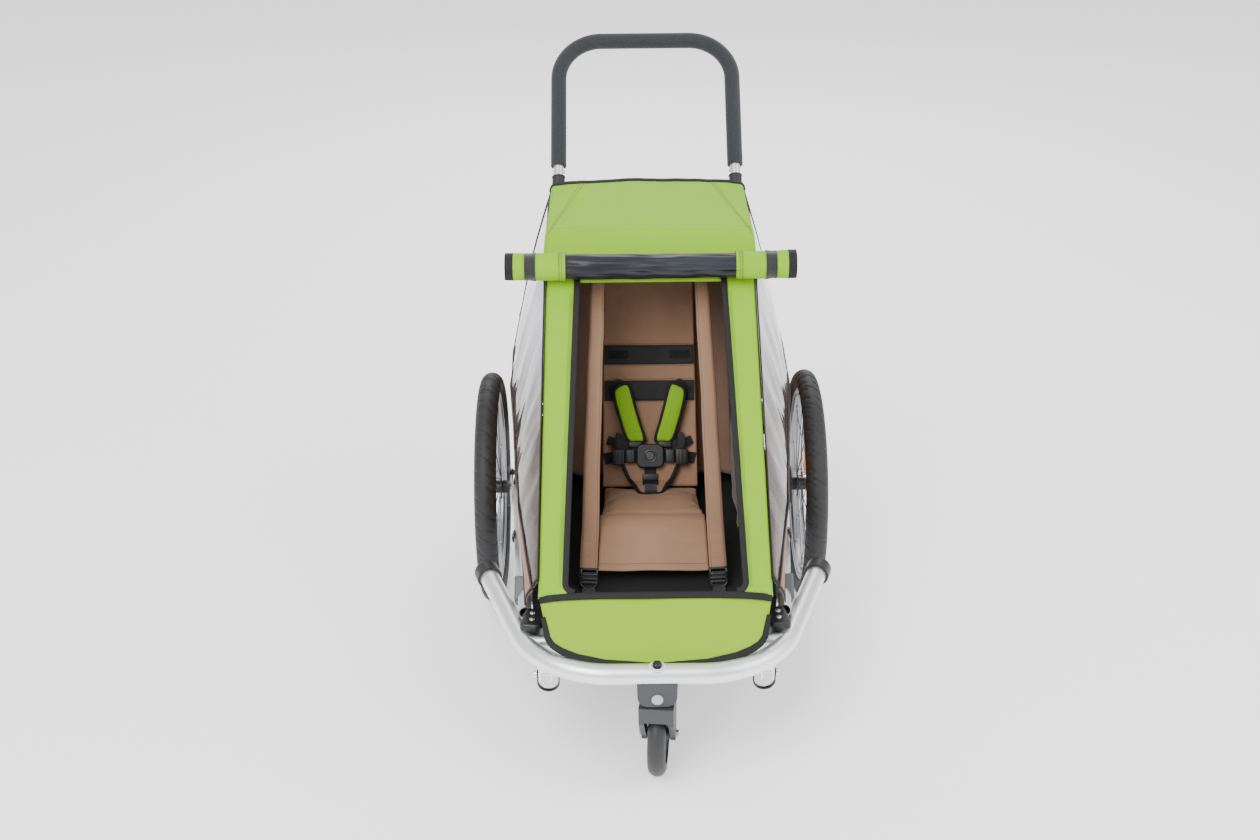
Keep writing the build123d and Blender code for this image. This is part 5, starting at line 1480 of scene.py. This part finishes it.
fittings = []
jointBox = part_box("corner_joints")
for side in (-1, 1):
    # screw heads on the corner joints
    for y in (jointBox[0][1] + 0.022, jointBox[1][1] - 0.02):
        screw, place = lathe("part", turned["screw"], "steel", 20), Vector((side * 0.229, y, jointBox[1][2]))
        fittings.append(placed(screw, place, Vector((1, 0, 0)), Vector((0, 1, 0)), Vector((0, 0, 1))))
    # a webbing loop from the wall's foot round the rail
    for y in (-250, -20, 215):
        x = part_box("side_rail_left")[1][0] - (0.0 if y > -130 else 0.009)
        centre = at(0, y, 0) + Vector((side * (x - 0.0125), 0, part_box("rear_cross_tube")[0][2] + 0.0125))
        turns = [k / 12 * math.pi * 1.5 - 0.9 for k in range(13)]
        arc = [centre + Vector((side * 0.0142 * math.cos(t), 0, -0.0142 * math.sin(t))) for t in turns]
        fittings.append(ribbon("part", arc, [(p - centre) for p in arc], 0.020, 0.0014, "webbing"))
frameFittings = joined("frameFittings", fittings)
rootPieces.append(frameFittings)
legDir = Vector((0, diagonal, diagonal))


def legRings(name, run, radius, tube, material, squashed):
    # a ring about each handle leg, a run up from its foot
    rings = []
    for side in (-1, 1):
        place = Vector((side * 0.186, axleY + 0.178, 0.866)) + legDir * run
        rings.append(ringPiece("part", place, legDir, radius, tube, material, squashed))
    return joined(name, rings)


socketCollars = legRings("socketCollars", 0.024, 0.0125, 0.0022, "blackPlastic", 1.0)
upperPieces.append(socketCollars)
gripRims = legRings("gripRims", 0.0515, 0.0135, 0.0031, "foam", 0.8)
print("wheels and fittings made")

# ---- what each piece moves with, and what it stands for

for piece in rootPieces:
    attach(piece, "root")
for piece in upperPieces:
    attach(piece, "upper_frame")
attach(gripRims, "handle")
for piece in squashed:
    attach(piece, "root")
    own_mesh(piece)
for word, suffix in (("Left", "left"), ("Right", "right")):
    made, details = wheelPieces[word]
    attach(made, "wheel_" + suffix)
    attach(details, "wheel_" + suffix)
    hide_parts("tyre_" + suffix)
    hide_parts("side_wall_" + suffix)
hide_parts("roof_cover")
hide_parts("front_surround")
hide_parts("cover_roll")
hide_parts("lower_front_panel")
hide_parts("rear_panel")
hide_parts("seat_back")
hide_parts("seat_base")
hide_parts("harness_pads")

# ---- cloth pieces listed with their cut, how they hang and what they rest on; cloth() does nothing with them


def cloth(piece, cut, held, restsOn, parts=()):
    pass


cloth(roofCover, "roofCover", "stretched", ["top_bars", "upper_tube_left"], [roofTrim])
cloth(frontSurround, "frontSurround", "stretched", ["upper_tube_left", "upper_tube_right"], [openingBinding])
cloth(lowerPanel, "lowerPanel", "stretched", ["panel_knob"], [lowerPanelBorder])
for word, suffix in (("Left", "left"), ("Right", "right")):
    cloth(windows[word], "window", "stretched", ["upper_tube_" + suffix])
    cloth(wallPieces[word], "wallCanvas", "stretched", ["side_rail_" + suffix])
    cloth(linings[word], "lining", "hung", ["upper_tube_" + suffix])
cloth(rearParts[0], "rearCloth", "stretched", ["rear_cross_tube"], [rearBinding])
cloth(flap, "rearFlap", "hung", ["rearCloth"])
cloth(roofValance, "roofValance", "hung", ["top_bars"])
cloth(innerLining, "rearLining", "hung", ["top_bars"])
cloth(seatBack, "seatBack", "stretched", ["top_bars"], [backHem])
cloth(dropPanel, "seatDropPanel", "hung", ["seatCushion"], [seatHemPiece])

# ---- floor, light and camera

studio = {"floorHalf": 9.0, "floorColour": (0.97, 0.97, 0.97), "world": 1.05, "floorGlow": 0.55,
          "key": ((-1.6, -2.6, 3.6), 190, 2.6), "fill": ((2.8, -1.4, 2.6), 90, 3.0),
          "back": ((0.2, 3.4, 3.0), 90, 3.2)}


def makeStage():
    half = studio["floorHalf"]
    points = [(-half, -half, 0), (half, -half, 0), (half, half, 0), (-half, half, 0)]
    sh = Shader("floorPaint", Roughness=0.75)
    sh.surface.inputs["Base Color"].default_value = (*studio["floorColour"], 1)
    sh.surface.inputs["Emission Color"].default_value = (*studio["floorColour"], 1)
    sh.surface.inputs["Emission Strength"].default_value = studio["floorGlow"]
    floor = newPiece("floor", points, [(0, 1, 2, 3)], sh.material)
    world = bpy.data.worlds.new("studio")
    world.use_nodes = True
    world.node_tree.nodes["Background"].inputs[0].default_value = (0.97, 0.98, 1.0, 1)
    world.node_tree.nodes["Background"].inputs[1].default_value = studio["world"]
    bpy.context.scene.world = world
    aim = Vector((0, 0, 0.4))
    for name in ("key", "fill", "back"):
        place, power, size = studio[name]
        light = bpy.data.lights.new(name, "AREA")
        light.energy, light.size = power, size
        lamp = bpy.data.objects.new(name, light)
        lamp.location = place
        lamp.rotation_euler = (aim - Vector(place)).to_track_quat("-Z", "Y").to_euler()
        bpy.context.scene.collection.objects.link(lamp)


camera = {"place": (-0.063, -3.0955, 1.9855), "pitch": 27.0, "roll": -0.58, "focal": 1631.0,
          "middle": (619.5, 420.0), "frame": (1260, 840), "sensor": 36.0}


def makeCamera():
    data = bpy.data.cameras.new("camera")
    data.sensor_width = camera["sensor"]
    data.lens = camera["focal"] * camera["sensor"] / camera["frame"][0]
    data.shift_x = (camera["frame"][0] / 2 - camera["middle"][0]) / camera["frame"][0]
    data.shift_y = (camera["middle"][1] - camera["frame"][1] / 2) / camera["frame"][0]
    eye = bpy.data.objects.new("camera", data)
    x, y, z = camera["place"]
    tilt = Matrix.Rotation(math.radians(90 - camera["pitch"]), 4, "X")
    eye.matrix_world = (Matrix.Translation((x, axleY + y, z)) @ tilt
                        @ Matrix.Rotation(math.radians(camera["roll"]), 4, "Z"))
    bpy.context.scene.collection.objects.link(eye)
    bpy.context.scene.camera = eye


makeStage()
makeCamera()
bpy.context.view_layer.update()
print("scene ready")
